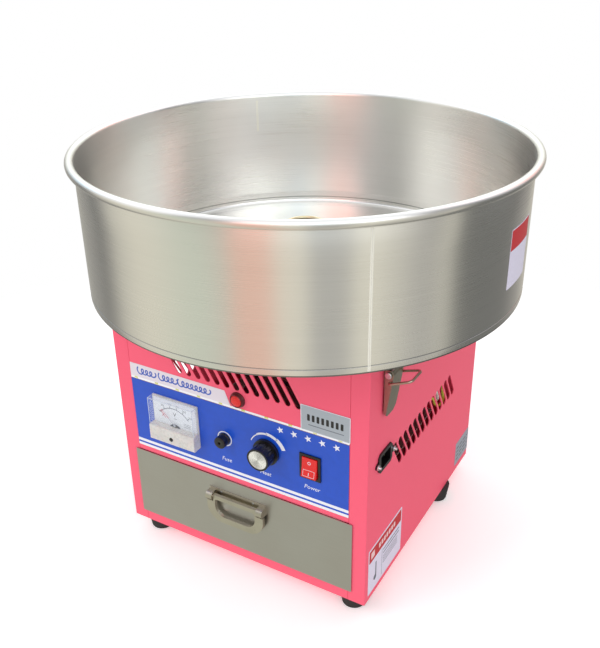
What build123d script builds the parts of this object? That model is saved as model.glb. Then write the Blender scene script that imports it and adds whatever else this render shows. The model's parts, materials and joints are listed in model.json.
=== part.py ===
"""Bench-top cotton candy machine: a sheet-metal case, a lift-off bowl and a belt-driven spinner.

Millimetres, +Z up. The origin is on the surface that the feet stand on, under the spinner's axis,
and the control panel faces -Y.
"""
from build123d import *
import os
from math import cos, pi, sin

# ---- driving dimensions ----
FOOT_H = 22.0
CASE_W = 330.0
CASE_D = 330.0
CASE_H = 315.0
SHEET = 1.2
SEAM = 0.2

BOWL_R = 251.2
BOWL_H = 157.2
BOWL_SHEET = 1.0
RIM_R = 4.9
HUB_HOLE_R = 70.0

DRAWER_W = 297.5
DRAWER_H = 96.0
FRONT_OPENING_W = 288.0
DRAWER_BOTTOM = 36.5

SHAFT_R = 6.0
HEAD_R = 60.0
MOTOR_Y = 95.0
DRIVEN_R = 38.0
DRIVER_R = 19.0

# ---- worked out from them ----
CASE_BOTTOM = FOOT_H
CASE_TOP = FOOT_H + CASE_H
WALL_TOP = CASE_TOP - SHEET
HALF_W = CASE_W / 2
HALF_D = CASE_D / 2
FRONT_Y = -HALF_D
SEAM_X = FRONT_OPENING_W / 2
LIP_TOP = 36.0
PANEL_BOTTOM = DRAWER_BOTTOM + DRAWER_H + 0.5
BOWL_BOTTOM = CASE_TOP + 0.2
BOWL_INNER_R = BOWL_R - BOWL_SHEET
RIM_Z = BOWL_BOTTOM + BOWL_H - RIM_R

# ---- places on the control panel, as (x, z) ----
METER_AT = (-80.9, 193.8)
FUSE_AT = (-13.7, 190.4)
KNOB_AT = (42.5, 192.6)
SWITCH_AT = (97.5, 190.9)
LAMP_AT = (7.2, 248.4)
OVERLAY_T = 0.4
FACE_Y = FRONT_Y - OVERLAY_T

# ---- right-hand wall, as (y, z) ----
INLET_AT = (-124.2, 201.0)
INLET_SCREWS = 40.1
LATCH_Y = -122.5

# ---- feet ----
FOOT_SPOTS = [(-141, -142), (141, -142), (-153, 83), (153, 83)]

os.makedirs("parts", exist_ok=True)


def block(x0, x1, y0, y1, z0, z1, mode=Mode.ADD):
    """A box between its limits, in the part being built."""
    with Locations(((x0 + x1) / 2, (y0 + y1) / 2, (z0 + z1) / 2)):
        Box(x1 - x0, y1 - y0, z1 - z0, mode=mode)


def rod(x, y, z0, z1, radius, mode=Mode.ADD):
    """An upright cylinder from z0 to z1, in the part being built."""
    with Locations((x, y, (z0 + z1) / 2)):
        Cylinder(radius, z1 - z0, mode=mode)


def peg(x, z, y0, y1, radius, mode=Mode.ADD):
    """A cylinder along Y from y0 to y1, in the part being built."""
    with Locations((x, (y0 + y1) / 2, z)):
        Cylinder(radius, y1 - y0, rotation=(90, 0, 0), mode=mode)


def save(piece, label):
    """Label a finished piece and write its STEP file."""
    piece.part.label = label
    export_step(piece.part, f"parts/{label}.step")


# ---------------------------------------------------------------- case
VENT_L = 41.0
VENT_W = 9.2
VENT_LEAN = 31.0
VENT_PITCH = 13.64
VENT_COUNT = 13
FRONT_VENT_L = 58.0
FRONT_VENT_W = 7.0
BASE_VENT_W = 6.0


def make_base_plate():
    """Bottom sheet with a front lip, foot holes and an air grille."""
    with BuildPart() as base_plate:
        block(-HALF_W + 1.4, HALF_W - 1.4, FRONT_Y + 1.4, HALF_D - 3.8, CASE_BOTTOM, CASE_BOTTOM + SHEET)
        block(-SEAM_X + SEAM, SEAM_X - SEAM, FRONT_Y, FRONT_Y + 1.5, CASE_BOTTOM, CASE_BOTTOM + SHEET)
        block(-SEAM_X + SEAM, SEAM_X - SEAM, FRONT_Y, FRONT_Y + SHEET, CASE_BOTTOM, LIP_TOP)
        with BuildSketch(Plane.XY.offset(CASE_BOTTOM)):
            with Locations(*FOOT_SPOTS):
                Circle(2.1)
            with GridLocations(14, 0, 9, 1):
                SlotOverall(70, BASE_VENT_W, rotation=90)
        extrude(amount=2 * SHEET, mode=Mode.SUBTRACT)
    save(base_plate, "base_plate")


def make_side_panel(inlet):
    """The right-hand wall with its front and rear flanges; the inlet cut-out is optional."""
    with BuildPart() as panel:
        block(HALF_W - SHEET, HALF_W, FRONT_Y, HALF_D, CASE_BOTTOM, WALL_TOP)
        block(SEAM_X + SEAM, HALF_W, FRONT_Y, FRONT_Y + SHEET, CASE_BOTTOM, WALL_TOP)
        block(HALF_W - 16, HALF_W, HALF_D - 3.6, HALF_D - 2.4, CASE_BOTTOM, WALL_TOP)
        fillet(panel.edges().filter_by(Axis.Z).group_by(Axis.Y)[0].sort_by(Axis.X)[-1], 1.1)
        with BuildSketch(Plane.YZ.offset(HALF_W)):
            with Locations((-6.4, 184.3)):
                with GridLocations(VENT_PITCH, 0, VENT_COUNT, 1):
                    SlotOverall(VENT_L, VENT_W, rotation=90 + VENT_LEAN)
            if inlet:
                with Locations(INLET_AT):
                    Rectangle(27.2, 20.2)
                    with GridLocations(INLET_SCREWS, 0, 2, 1):
                        Circle(1.6)
        extrude(amount=-2 * SHEET, mode=Mode.SUBTRACT)
        with BuildSketch(Plane.XZ.offset(-HALF_D)):
            with Locations((HALF_W - 8, 179)):
                with GridLocations(0, 130, 1, 3):
                    Circle(1.6)
        extrude(amount=5, mode=Mode.SUBTRACT)
    return panel


def make_left_panel(right_hand):
    """The left-hand wall: a right-hand wall mirrored across the middle plane."""
    with BuildPart() as left_side_panel:
        mirror(right_hand.part, about=Plane.YZ)
    save(left_side_panel, "left_side_panel")


def make_front_panel():
    """Control panel sheet between the flanges, with a return at its foot."""
    with BuildPart() as front_panel:
        half = SEAM_X - SEAM
        block(-half, half, FRONT_Y, FRONT_Y + SHEET, PANEL_BOTTOM, WALL_TOP)
        block(-half, half, FRONT_Y, FRONT_Y + 12, PANEL_BOTTOM, PANEL_BOTTOM + SHEET)
        with BuildSketch(Plane.XZ.offset(HALF_D)):
            with Locations(METER_AT):
                Circle(25.8)
            with Locations(FUSE_AT):
                Circle(6.3)
            with Locations(KNOB_AT):
                Circle(4.5)
            with Locations(SWITCH_AT):
                Rectangle(22.2, 28.2)
            with Locations(LAMP_AT):
                Circle(7.5)
            with Locations((-6.6, 285.0)):
                with GridLocations(12.83, 0, VENT_COUNT, 1):
                    SlotOverall(FRONT_VENT_L, FRONT_VENT_W, rotation=120)
        extrude(amount=-2 * SHEET, mode=Mode.SUBTRACT)
    save(front_panel, "front_panel")


def make_control_overlay():
    """Printed film over the controls, with a slanted title band along its top left."""
    with BuildPart() as control_overlay:
        with BuildSketch(Plane.XZ.offset(HALF_D)):
            with BuildLine():
                Polyline((-143.6, 140), (143.6, 140), (143.6, 237.6), (-3.1, 237.6),
                         (-10.0, 255.2), (-143.6, 255.2), close=True)
            make_face()
            with Locations(METER_AT):
                Circle(25.8, mode=Mode.SUBTRACT)
            with Locations(FUSE_AT):
                Circle(6.3, mode=Mode.SUBTRACT)
            with Locations(KNOB_AT):
                Circle(4.5, mode=Mode.SUBTRACT)
            with Locations(SWITCH_AT):
                Rectangle(22.2, 28.2, mode=Mode.SUBTRACT)
            with Locations(LAMP_AT):
                Circle(9.8, mode=Mode.SUBTRACT)
        extrude(amount=OVERLAY_T)
    save(control_overlay, "control_overlay")


def make_rear_panel():
    """Removable back cover with two rows of air slots."""
    with BuildPart() as rear_panel:
        half = HALF_W - SHEET - SEAM
        block(-half, half, HALF_D - 2.3, HALF_D - 2.3 + SHEET, CASE_BOTTOM, WALL_TOP)
        with BuildSketch(Plane.XZ.offset(-HALF_D)):
            with Locations((0, 184), (0, 270)):
                with GridLocations(VENT_PITCH, 0, VENT_COUNT, 1):
                    SlotOverall(VENT_L, VENT_W, rotation=90 - VENT_LEAN)
            with Locations((0, 179)):
                with GridLocations(CASE_W - 16, 130, 2, 3):
                    Circle(2.1)
        extrude(amount=5, mode=Mode.SUBTRACT)
    save(rear_panel, "rear_panel")


DECK_BOLT_R = 32.0
MOTOR_BOLTS = [(-46, 62), (46, 62), (-46, 128), (46, 128)]


def make_deck_plate():
    """Top sheet with the ring that centres the bowl and the spindle hole."""
    with BuildPart() as deck_plate:
        block(-HALF_W, HALF_W, FRONT_Y, HALF_D, WALL_TOP, CASE_TOP)
        fillet(deck_plate.edges().filter_by(Axis.Z), 2)
        with BuildSketch(Plane.XY.offset(CASE_TOP)):
            Circle(68.4)
            Circle(66.4, mode=Mode.SUBTRACT)
        extrude(amount=8)
        with BuildSketch(Plane.XY.offset(WALL_TOP)):
            Circle(21)
            with PolarLocations(DECK_BOLT_R, 4, 45):
                Circle(2.1)
            with Locations(*MOTOR_BOLTS):
                Circle(2.1)
        extrude(amount=2 * SHEET, mode=Mode.SUBTRACT)
    save(deck_plate, "deck_plate")


def make_rubber_feet():
    """Four tapered feet, each with a recess for its screw."""
    with BuildPart() as rubber_feet:
        with Locations(*[(x, y, FOOT_H / 2) for x, y in FOOT_SPOTS]):
            Cone(14, 17.5, FOOT_H)
        fillet(rubber_feet.edges().filter_by(GeomType.CIRCLE).group_by(Axis.Z)[0], 1.5)
        for x, y in FOOT_SPOTS:
            rod(x, y, 0, FOOT_H, 2.1, Mode.SUBTRACT)
            rod(x, y, 0, 12, 6, Mode.SUBTRACT)
    save(rubber_feet, "rubber_feet")


def make_machine_screws():
    """Pan-head screws: feet, rear cover, spindle flange, motor bracket and mains inlet."""
    with BuildPart() as machine_screws:
        for x, y in FOOT_SPOTS:
            rod(x, y, 11, 28, 2)
            rod(x, y, 9.4, 12, 4)
        for x in (-HALF_W + 8, HALF_W - 8):
            for z in (49, 179, 309):
                peg(x, z, HALF_D - 8, HALF_D - 1, 1.5)
                peg(x, z, HALF_D - 1.1, HALF_D + 1.3, 3.6)
        for x, y in SPINDLE_BOLTS:
            rod(x, y, WALL_TOP - 6, CASE_TOP + 1, 2)
            rod(x, y, CASE_TOP, CASE_TOP + 2.4, 3.8)
        for x, y in MOTOR_BOLTS:
            rod(x, y, WALL_TOP - 6, CASE_TOP, 2)
            rod(x, y, WALL_TOP - 4.4, WALL_TOP - 2, 3.8)
        for side in (-1, 1):
            with Locations((HALF_W, INLET_AT[0] + side * INLET_SCREWS / 2, INLET_AT[1])):
                Cylinder(1.5, 12, rotation=(0, 90, 0))
            with Locations((HALF_W + 2.6, INLET_AT[0] + side * INLET_SCREWS / 2, INLET_AT[1])):
                Cylinder(3.0, 1.6, rotation=(0, 90, 0))
    save(machine_screws, "machine_screws")


# ---------------------------------------------------------------- drawer
TRAY_HALF = 135.0
TRAY_BACK = 100.0
TRAY_BOTTOM = 37.0
TRAY_TOP = 125.0
PLATE_Y = FRONT_Y - 1.6
HANDLE_SCREW_X = 22.0
HANDLE_SCREW_Z = 113.3


def make_drawer_front():
    """Stainless plate that covers the drawer opening and laps the flanges."""
    with BuildPart() as drawer_front:
        block(-DRAWER_W / 2, DRAWER_W / 2, PLATE_Y, FRONT_Y - 0.4, DRAWER_BOTTOM, DRAWER_BOTTOM + DRAWER_H)
        fillet(drawer_front.edges().filter_by(Axis.Y), 1.0)
        for side in (-1, 1):
            peg(side * HANDLE_SCREW_X, HANDLE_SCREW_Z, PLATE_Y - 1, FRONT_Y, 1.6, Mode.SUBTRACT)
    save(drawer_front, "drawer_front")


def make_drawer_tray():
    """Open stainless tray behind the drawer front."""
    with BuildPart() as drawer_tray:
        block(-TRAY_HALF, TRAY_HALF, FRONT_Y - 0.4, TRAY_BACK, TRAY_BOTTOM, TRAY_TOP)
        block(-TRAY_HALF + 1, TRAY_HALF - 1, FRONT_Y + 0.6, TRAY_BACK - 1, TRAY_BOTTOM + 1, TRAY_TOP, Mode.SUBTRACT)
        for side in (-1, 1):
            peg(side * HANDLE_SCREW_X, HANDLE_SCREW_Z, FRONT_Y - 1, FRONT_Y + 1, 1.6, Mode.SUBTRACT)
    save(drawer_tray, "drawer_tray")


HANDLE_HALF = 38.8
HANDLE_TOP = 116.5
PIVOT_Y = PLATE_Y - 5.8
PIVOT_Z = 108.0
LUG_W = 8.4


def make_drawer_handle_bracket():
    """Back plate with a rolled lug at each end that holds the handle's pivots."""
    with BuildPart() as drawer_handle_bracket:
        block(-HANDLE_HALF, HANDLE_HALF, PLATE_Y - 1.2, PLATE_Y, 102.5, HANDLE_TOP)
        for side in (-1, 1):
            with Locations((side * (HANDLE_HALF - LUG_W / 2), PIVOT_Y, PIVOT_Z)):
                Cylinder(5.4, LUG_W, rotation=(0, 90, 0))
            with Locations((side * (HANDLE_HALF - LUG_W / 2), (PIVOT_Y + PLATE_Y - 1.2) / 2, PIVOT_Z)):
                Box(LUG_W, PLATE_Y - 1.2 - PIVOT_Y, 10.8)
            with Locations((side * (HANDLE_HALF - LUG_W / 2 - 1), PIVOT_Y, PIVOT_Z)):
                Cylinder(2.55, LUG_W, rotation=(0, 90, 0), mode=Mode.SUBTRACT)
        for side in (-1, 1):
            peg(side * HANDLE_SCREW_X, HANDLE_SCREW_Z, PLATE_Y - 2, PLATE_Y + 1, 1.6, Mode.SUBTRACT)
    save(drawer_handle_bracket, "drawer_handle_bracket")


def make_drawer_handle_loop():
    """Flat D-shaped ring that hangs from its two pivots."""
    with BuildPart() as drawer_handle_loop:
        with BuildSketch(Plane.XZ.offset(-PIVOT_Y - 2)) as outline:
            with Locations((0, 87.5)):
                Rectangle(2 * HANDLE_HALF, 28)
            fillet(outline.vertices().group_by(Axis.Y)[0], 21)
            with Locations((0, 105.4)):
                Rectangle(2 * (HANDLE_HALF - LUG_W) - 0.8, 11)
        extrude(amount=4)
        with BuildSketch(Plane.XZ.offset(-PIVOT_Y - 3)) as finger_gap:
            with Locations((0, 93.5)):
                Rectangle(2 * HANDLE_HALF - 22.4, 23)
            fillet(finger_gap.vertices().group_by(Axis.Y)[0], 13)
            fillet(finger_gap.vertices().group_by(Axis.Y)[-1], 3)
        extrude(amount=6, mode=Mode.SUBTRACT)
        for side in (-1, 1):
            with Locations((side * 32.4, PIVOT_Y, PIVOT_Z)):
                Cylinder(2.5, 7, rotation=(0, 90, 0))
    save(drawer_handle_loop, "drawer_handle_loop")


def make_handle_screws():
    """Two screws that hold the handle bracket, their heads inside the tray."""
    with BuildPart() as handle_screws:
        for side in (-1, 1):
            peg(side * HANDLE_SCREW_X, HANDLE_SCREW_Z, PLATE_Y - 1.2, FRONT_Y + 0.7, 1.5)
            peg(side * HANDLE_SCREW_X, HANDLE_SCREW_Z, FRONT_Y + 0.6, FRONT_Y + 2.6, 3.2)
    save(handle_screws, "handle_screws")


def make_drawer_runners():
    """Two folded rails that carry the tray's edges."""
    with BuildPart() as drawer_runners:
        for side in (-1, 1):
            with BuildSketch(Plane.XZ.offset(HALF_D - 6)):
                with BuildLine():
                    Polyline((side * 158, 23.2), (side * 137.2, 23.2), (side * 137.2, 35), (side * 126, 35),
                             (side * 126, 36.4), (side * 137.2, 36.4), (side * 137.2, 68), (side * 138.6, 68),
                             (side * 138.6, 24.6), (side * 158, 24.6), close=True)
                make_face()
            extrude(amount=-285)
        for x, y in FOOT_SPOTS:
            rod(x, y, CASE_BOTTOM, CASE_BOTTOM + 4, 2.2, Mode.SUBTRACT)
    save(drawer_runners, "drawer_runners")


# ---------------------------------------------------------------- toggle latches
LEVER_PIVOT = (171.5, 310.5)
BAIL_PIVOT = (172.5, 301.0)
LEVER_HALF = 12.8
LEVER_TIP_R = 9.0
BAIL_HALF = 15.4
BAIL_REACH = 24.5
BAIL_REST = 20.0
WIRE_R = 1.4


def make_latch_base():
    """Wall plate with two ears that hold the lever's pivot."""
    with BuildPart() as latch_base:
        block(HALF_W, HALF_W + 1.2, LATCH_Y - 10.6, LATCH_Y + 10.6, 292, 328)
        for side in (-1, 1):
            with BuildSketch(Plane.XZ.offset(-LATCH_Y - side * 10 - 0.6)):
                with Locations(LEVER_PIVOT):
                    Circle(3.2)
                with Locations(((HALF_W + LEVER_PIVOT[0]) / 2, LEVER_PIVOT[1])):
                    Rectangle(LEVER_PIVOT[0] - HALF_W, 6.4)
            extrude(amount=1.2)
        peg(LEVER_PIVOT[0], LEVER_PIVOT[1], LATCH_Y - 12, LATCH_Y + 12, 2.02, Mode.SUBTRACT)
    return latch_base


def make_latch_lever():
    """Tapered channel that folds down flat against the wall, with a rounded tip."""
    px, pz = LEVER_PIVOT
    with BuildPart() as latch_lever:
        with BuildSketch(Plane.XZ.offset(-LATCH_Y - LEVER_HALF)):
            with Locations(LEVER_PIVOT):
                Circle(5)
            with BuildLine():
                Polyline((px - 4.6, pz), (px + 5, pz), (168.6, 257.5), (166.6, 257.5), close=True)
            make_face()
        extrude(amount=2 * LEVER_HALF)
        with BuildSketch(Plane.XZ.offset(-LATCH_Y - LEVER_HALF + 1.2)):
            with BuildLine():
                Polyline((px - 8, pz + 8), (px + 2, pz + 8), (px + 3.7, pz), (167.4, 257), (160, 257), close=True)
            make_face()
        extrude(amount=2 * LEVER_HALF - 2.4, mode=Mode.SUBTRACT)
        with BuildSketch(Plane.YZ.offset(HALF_W - 2)) as outline:
            with Locations((LATCH_Y, 288.5)):
                Rectangle(2 * LEVER_HALF, 63)
            fillet(outline.vertices().group_by(Axis.Y)[0], LEVER_TIP_R)
        extrude(amount=20, mode=Mode.INTERSECT)
        peg(px, pz, LATCH_Y - 20, LATCH_Y + 20, 2.06, Mode.SUBTRACT)
        peg(BAIL_PIVOT[0], BAIL_PIVOT[1], LATCH_Y - 20, LATCH_Y + 20, WIRE_R + 0.06, Mode.SUBTRACT)
    return latch_lever


def make_latch_bail():
    """Wire loop hinged in the lever's flanges."""
    rest = Plane(origin=(BAIL_PIVOT[0], LATCH_Y, BAIL_PIVOT[1]), x_dir=(cos(BAIL_REST * pi / 180), 0,
                 sin(BAIL_REST * pi / 180)), z_dir=(sin(BAIL_REST * pi / 180), 0, -cos(BAIL_REST * pi / 180)))
    with BuildPart() as latch_bail:
        with BuildLine(rest) as wire:
            FilletPolyline((0, 12.0), (0, BAIL_HALF), (BAIL_REACH, BAIL_HALF - 2.6), (BAIL_REACH, 2.6 - BAIL_HALF),
                           (0, -BAIL_HALF), (0, -12.0), radius=[1.8, 5, 5, 1.8])
        with BuildSketch(Plane(origin=wire.line @ 0, z_dir=wire.line % 0)):
            Circle(WIRE_R)
        sweep()
    return latch_bail


def make_latch_pins():
    """Headed pivot pins of the two levers."""
    with BuildPart() as latch_pins:
        for side in (-1, 1):
            peg(side * LEVER_PIVOT[0], LEVER_PIVOT[1], LATCH_Y - 15, LATCH_Y + 15, 2)
            peg(side * LEVER_PIVOT[0], LEVER_PIVOT[1], LATCH_Y - 15.8, LATCH_Y - 13.8, 3.6)
            peg(side * LEVER_PIVOT[0], LEVER_PIVOT[1], LATCH_Y + 13.8, LATCH_Y + 15.8, 3.6)
    save(latch_pins, "latch_pins")


def make_pair(right_hand, name):
    """Save a right-hand piece and its mirror image."""
    save(right_hand, f"{name}_right")
    with BuildPart() as left_hand:
        mirror(right_hand.part, about=Plane.YZ)
    save(left_hand, f"{name}_left")


# ---------------------------------------------------------------- bowl
def make_bowl_wall():
    """Cylindrical stainless wall with a wired rim."""
    with BuildPart() as bowl_wall:
        with BuildSketch(Plane.XZ):
            with Locations((BOWL_INNER_R + BOWL_SHEET / 2, (BOWL_BOTTOM + RIM_Z) / 2)):
                Rectangle(BOWL_SHEET, RIM_Z - BOWL_BOTTOM)
            with Locations((BOWL_INNER_R + RIM_R, RIM_Z)):
                Circle(RIM_R)
        revolve(axis=Axis.Z)
    save(bowl_wall, "bowl_wall")


def make_bowl_floor():
    """Pressed floor with a flange against the wall and a lip round the spinner's hole."""
    outer = BOWL_INNER_R - 0.1
    with BuildPart() as bowl_floor:
        with BuildSketch(Plane.XZ) as section:
            with BuildLine():
                Polyline((HUB_HOLE_R, BOWL_BOTTOM), (outer, BOWL_BOTTOM), (outer, BOWL_BOTTOM + 16),
                         (outer - 1, BOWL_BOTTOM + 16), (outer - 1, BOWL_BOTTOM + 1),
                         (HUB_HOLE_R + 1, BOWL_BOTTOM + 1), (HUB_HOLE_R + 1, BOWL_BOTTOM + 15),
                         (HUB_HOLE_R, BOWL_BOTTOM + 15), close=True)
            make_face()
            inner = section.vertices().sort_by(Axis.Y)
            fillet([v for v in inner if abs(v.Y - BOWL_BOTTOM - 1) < 0.1], 5)
        revolve(axis=Axis.Z)
    save(bowl_floor, "bowl_floor")


def make_bowl_catches():
    """Hooks under the bowl, one above each latch."""
    with BuildPart() as bowl_catches:
        for side in (-1, 1):
            with BuildSketch(Plane.XZ.offset(-LATCH_Y - 8)):
                with BuildLine():
                    Polyline((side * 166.8, BOWL_BOTTOM), (side * 184, BOWL_BOTTOM),
                             (side * 184, BOWL_BOTTOM - 1.4), (side * 168.2, BOWL_BOTTOM - 1.4),
                             (side * 168.2, 323.4), (side * 175, 323.4), (side * 175, 327), (side * 176.4, 327),
                             (side * 176.4, 322), (side * 166.8, 322), close=True)
                make_face()
            extrude(amount=16)
    save(bowl_catches, "bowl_catches")


# ---------------------------------------------------------------- spinner
def ring(z0, z1, inner, outer):
    """A turned ring about the spinner's axis, in the part being built."""
    rod(0, 0, z0, z1, outer)
    rod(0, 0, z0 - 1, z1 + 1, inner, Mode.SUBTRACT)


def make_spinner_shaft():
    """Spindle that carries the head, the slip rings and the driven pulley."""
    with BuildPart() as spinner_shaft:
        rod(0, 0, 184, 368, SHAFT_R)
        chamfer(spinner_shaft.edges().group_by(Axis.Z)[-1], 1)
    save(spinner_shaft, "spinner_shaft")


BORE_R = SHAFT_R + 0.05


def make_spinner_base():
    """Aluminium base of the head with its hub and rim."""
    with BuildPart() as spinner_base:
        with BuildSketch(Plane.XZ):
            with BuildLine():
                Polyline((BORE_R, 346), (13, 346), (16, 350), (58, 350), (58, 357), (56, 357), (56, 353),
                         (16, 353), (13, 356), (13, 366), (BORE_R, 366), close=True)
            make_face()
        revolve(axis=Axis.Z)
        with BuildSketch(Plane.XY.offset(350)):
            with PolarLocations(44, 4, 45):
                Circle(2.05)
        extrude(amount=4, mode=Mode.SUBTRACT)
    save(spinner_base, "spinner_base")


def make_spinner_cover():
    """Spun cover of the head that rises to the sugar opening."""
    with BuildPart() as spinner_cover:
        with BuildSketch(Plane.XZ):
            with BuildLine():
                Polyline((HEAD_R, 372), (HEAD_R, 380), (52, 384), (38, 384), (28, 391), (25.2, 391), (25.2, 389.4),
                         (27.6, 389.4), (37.6, 382.5), (51.6, 382.5), (HEAD_R - 1.5, 379), (HEAD_R - 1.5, 372),
                         close=True)
            make_face()
        revolve(axis=Axis.Z)
        with BuildSketch(Plane.XY.offset(380)):
            with PolarLocations(44, 4, 45):
                Circle(2.05)
        extrude(amount=6, mode=Mode.SUBTRACT)
    save(spinner_cover, "spinner_cover")


def make_sugar_collar():
    """Brass ring of the sugar opening."""
    with BuildPart() as sugar_collar:
        ring(386, 397.2, 21.5, 25.1)
        fillet(sugar_collar.edges().filter_by(GeomType.CIRCLE).group_by(Axis.Z)[-1], 1.6)
    save(sugar_collar, "sugar_collar")


RIBBON_FOLDS = 48


def make_heater_ribbon():
    """Pleated heating ribbon that stands round the head."""
    step = pi / RIBBON_FOLDS

    def pleats(crest, trough):
        radii = [crest if i % 2 == 0 else trough for i in range(2 * RIBBON_FOLDS)]
        return [(r * cos(i * step), r * sin(i * step)) for i, r in enumerate(radii)]

    with BuildPart() as heater_ribbon:
        with BuildSketch(Plane.XY.offset(355.7)):
            with BuildLine():
                Polyline(*pleats(55, 51), close=True)
            make_face()
            with BuildLine():
                Polyline(*pleats(54.2, 50.2), close=True)
            make_face(mode=Mode.SUBTRACT)
        extrude(amount=17.6)
    save(heater_ribbon, "heater_ribbon")


def make_ribbon_insulators():
    """Mica rings under and over the ribbon."""
    with BuildPart() as ribbon_insulators:
        ring(353.1, 355.6, 47, 55.8)
        rod(0, 0, 373.4, 376, 57)
        rod(0, 0, 373, 377, 47, Mode.SUBTRACT)
    save(ribbon_insulators, "ribbon_insulators")


def make_cover_screws():
    """Four long screws that clamp the head together."""
    with BuildPart() as cover_screws:
        with PolarLocations(44, 4, 45):
            with Locations((0, 0, 366.5)):
                Cylinder(2, 37)
            with Locations((0, 0, 385.4)):
                Cylinder(3.6, 2.6)
    save(cover_screws, "cover_screws")


def make_slip_rings():
    """Insulating sleeve apart, the two brass rings that feed the heater."""
    with BuildPart() as slip_rings:
        for z in (238, 254):
            rod(0, 0, z, z + 10, 20)
        rod(0, 0, 230, 270, 14.05, Mode.SUBTRACT)
    save(slip_rings, "slip_rings")
    with BuildPart() as slip_ring_sleeve:
        ring(232, 272, BORE_R, 14)
    save(slip_ring_sleeve, "slip_ring_sleeve")


PULLEY_Z = 198.0


def make_pulley(name, y, belt_r, bore):
    """Grooved pulley on an upright shaft at (0, y)."""
    with BuildPart() as pulley:
        rod(0, y, PULLEY_Z - 8, PULLEY_Z + 8, belt_r + 3)
        with BuildSketch(Plane.XY.offset(PULLEY_Z - 3.3)):
            with Locations((0, y)):
                Circle(belt_r + 4)
                Circle(belt_r - 3.3, mode=Mode.SUBTRACT)
        extrude(amount=6.6, mode=Mode.SUBTRACT)
        rod(0, y, PULLEY_Z - 9, PULLEY_Z + 9, bore, Mode.SUBTRACT)
    save(pulley, name)


def make_drive_belt():
    """Flat-sided belt round both pulleys."""
    with BuildPart() as drive_belt:
        with BuildSketch(Plane.XY.offset(PULLEY_Z - 3)):
            Circle(DRIVEN_R + 3)
            with Locations((0, MOTOR_Y)):
                Circle(DRIVER_R + 3)
            make_hull()
        extrude(amount=6)
        with BuildSketch(Plane.XY.offset(PULLEY_Z - 3)):
            Circle(DRIVEN_R - 3)
            with Locations((0, MOTOR_Y)):
                Circle(DRIVER_R - 3)
            make_hull()
        extrude(amount=6, mode=Mode.SUBTRACT)
    save(drive_belt, "drive_belt")


def make_spindle_bearings():
    """Two ball bearings, drawn as plain rings."""
    with BuildPart() as spindle_bearings:
        for z in (282, 322):
            rod(0, 0, z, z + 10, 16)
        rod(0, 0, 280, 334, SHAFT_R + 0.05, Mode.SUBTRACT)
    save(spindle_bearings, "spindle_bearings")


def make_bearing_housing():
    """Flanged tube under the deck that holds the bearings."""
    with BuildPart() as bearing_housing:
        rod(0, 0, 280, WALL_TOP, 20)
        rod(0, 0, WALL_TOP - 4, WALL_TOP, 40)
        rod(0, 0, 279, WALL_TOP + 1, 16.02, Mode.SUBTRACT)
        for x, y in SPINDLE_BOLTS:
            rod(x, y, WALL_TOP - 5, WALL_TOP + 1, 2.05, Mode.SUBTRACT)
    save(bearing_housing, "bearing_housing")


def make_brush_gear():
    """Brush holder hung from the deck, and its two carbon brushes."""
    with BuildPart() as brush_holder:
        block(24, 50, -8, 8, 234, 268)
        block(44, 50, -8, 8, 268, WALL_TOP)
        for z in (243, 259):
            block(20, 43, -3.6, 3.6, z - 3.1, z + 3.1, Mode.SUBTRACT)
    save(brush_holder, "brush_holder")
    with BuildPart() as carbon_brushes:
        for z in (243, 259):
            block(20.4, 42, -3.5, 3.5, z - 3, z + 3)
    save(carbon_brushes, "carbon_brushes")


# ---------------------------------------------------------------- motor
def make_motor():
    """Upright motor, its hanger, its shaft and the drive pulley."""
    with BuildPart() as motor_body:
        rod(0, MOTOR_Y, 222, 318, 40)
        fillet(motor_body.edges().filter_by(GeomType.CIRCLE), 4)
        rod(0, MOTOR_Y, 216, 222.5, 14)
        rod(0, MOTOR_Y, 210, 262, 5.06, Mode.SUBTRACT)
    save(motor_body, "motor_body")
    with BuildPart() as motor_bracket:
        block(-52, 52, 55, 135, 318.1, 320)
        for side in (-1, 1):
            low, high = sorted((side * 50.1, side * 52))
            block(low, high, 55, 135, 318.1, WALL_TOP)
            low, high = sorted((side * 40, side * 52))
            block(low, high, 55, 135, WALL_TOP - 1.9, WALL_TOP)
        for x, y in MOTOR_BOLTS:
            rod(x, y, 330, WALL_TOP + 1, 2.05, Mode.SUBTRACT)
    save(motor_bracket, "motor_bracket")
    with BuildPart() as motor_shaft:
        rod(0, MOTOR_Y, 186, 260, 5)
    save(motor_shaft, "motor_shaft")


# ---------------------------------------------------------------- panel instruments
METER_W = 64.0
METER_H = 56.0
METER_STEP = -8.0
NEEDLE_AT = (METER_AT[0], METER_AT[1] - 4.6)
NEEDLE_REST = 135.0


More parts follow.
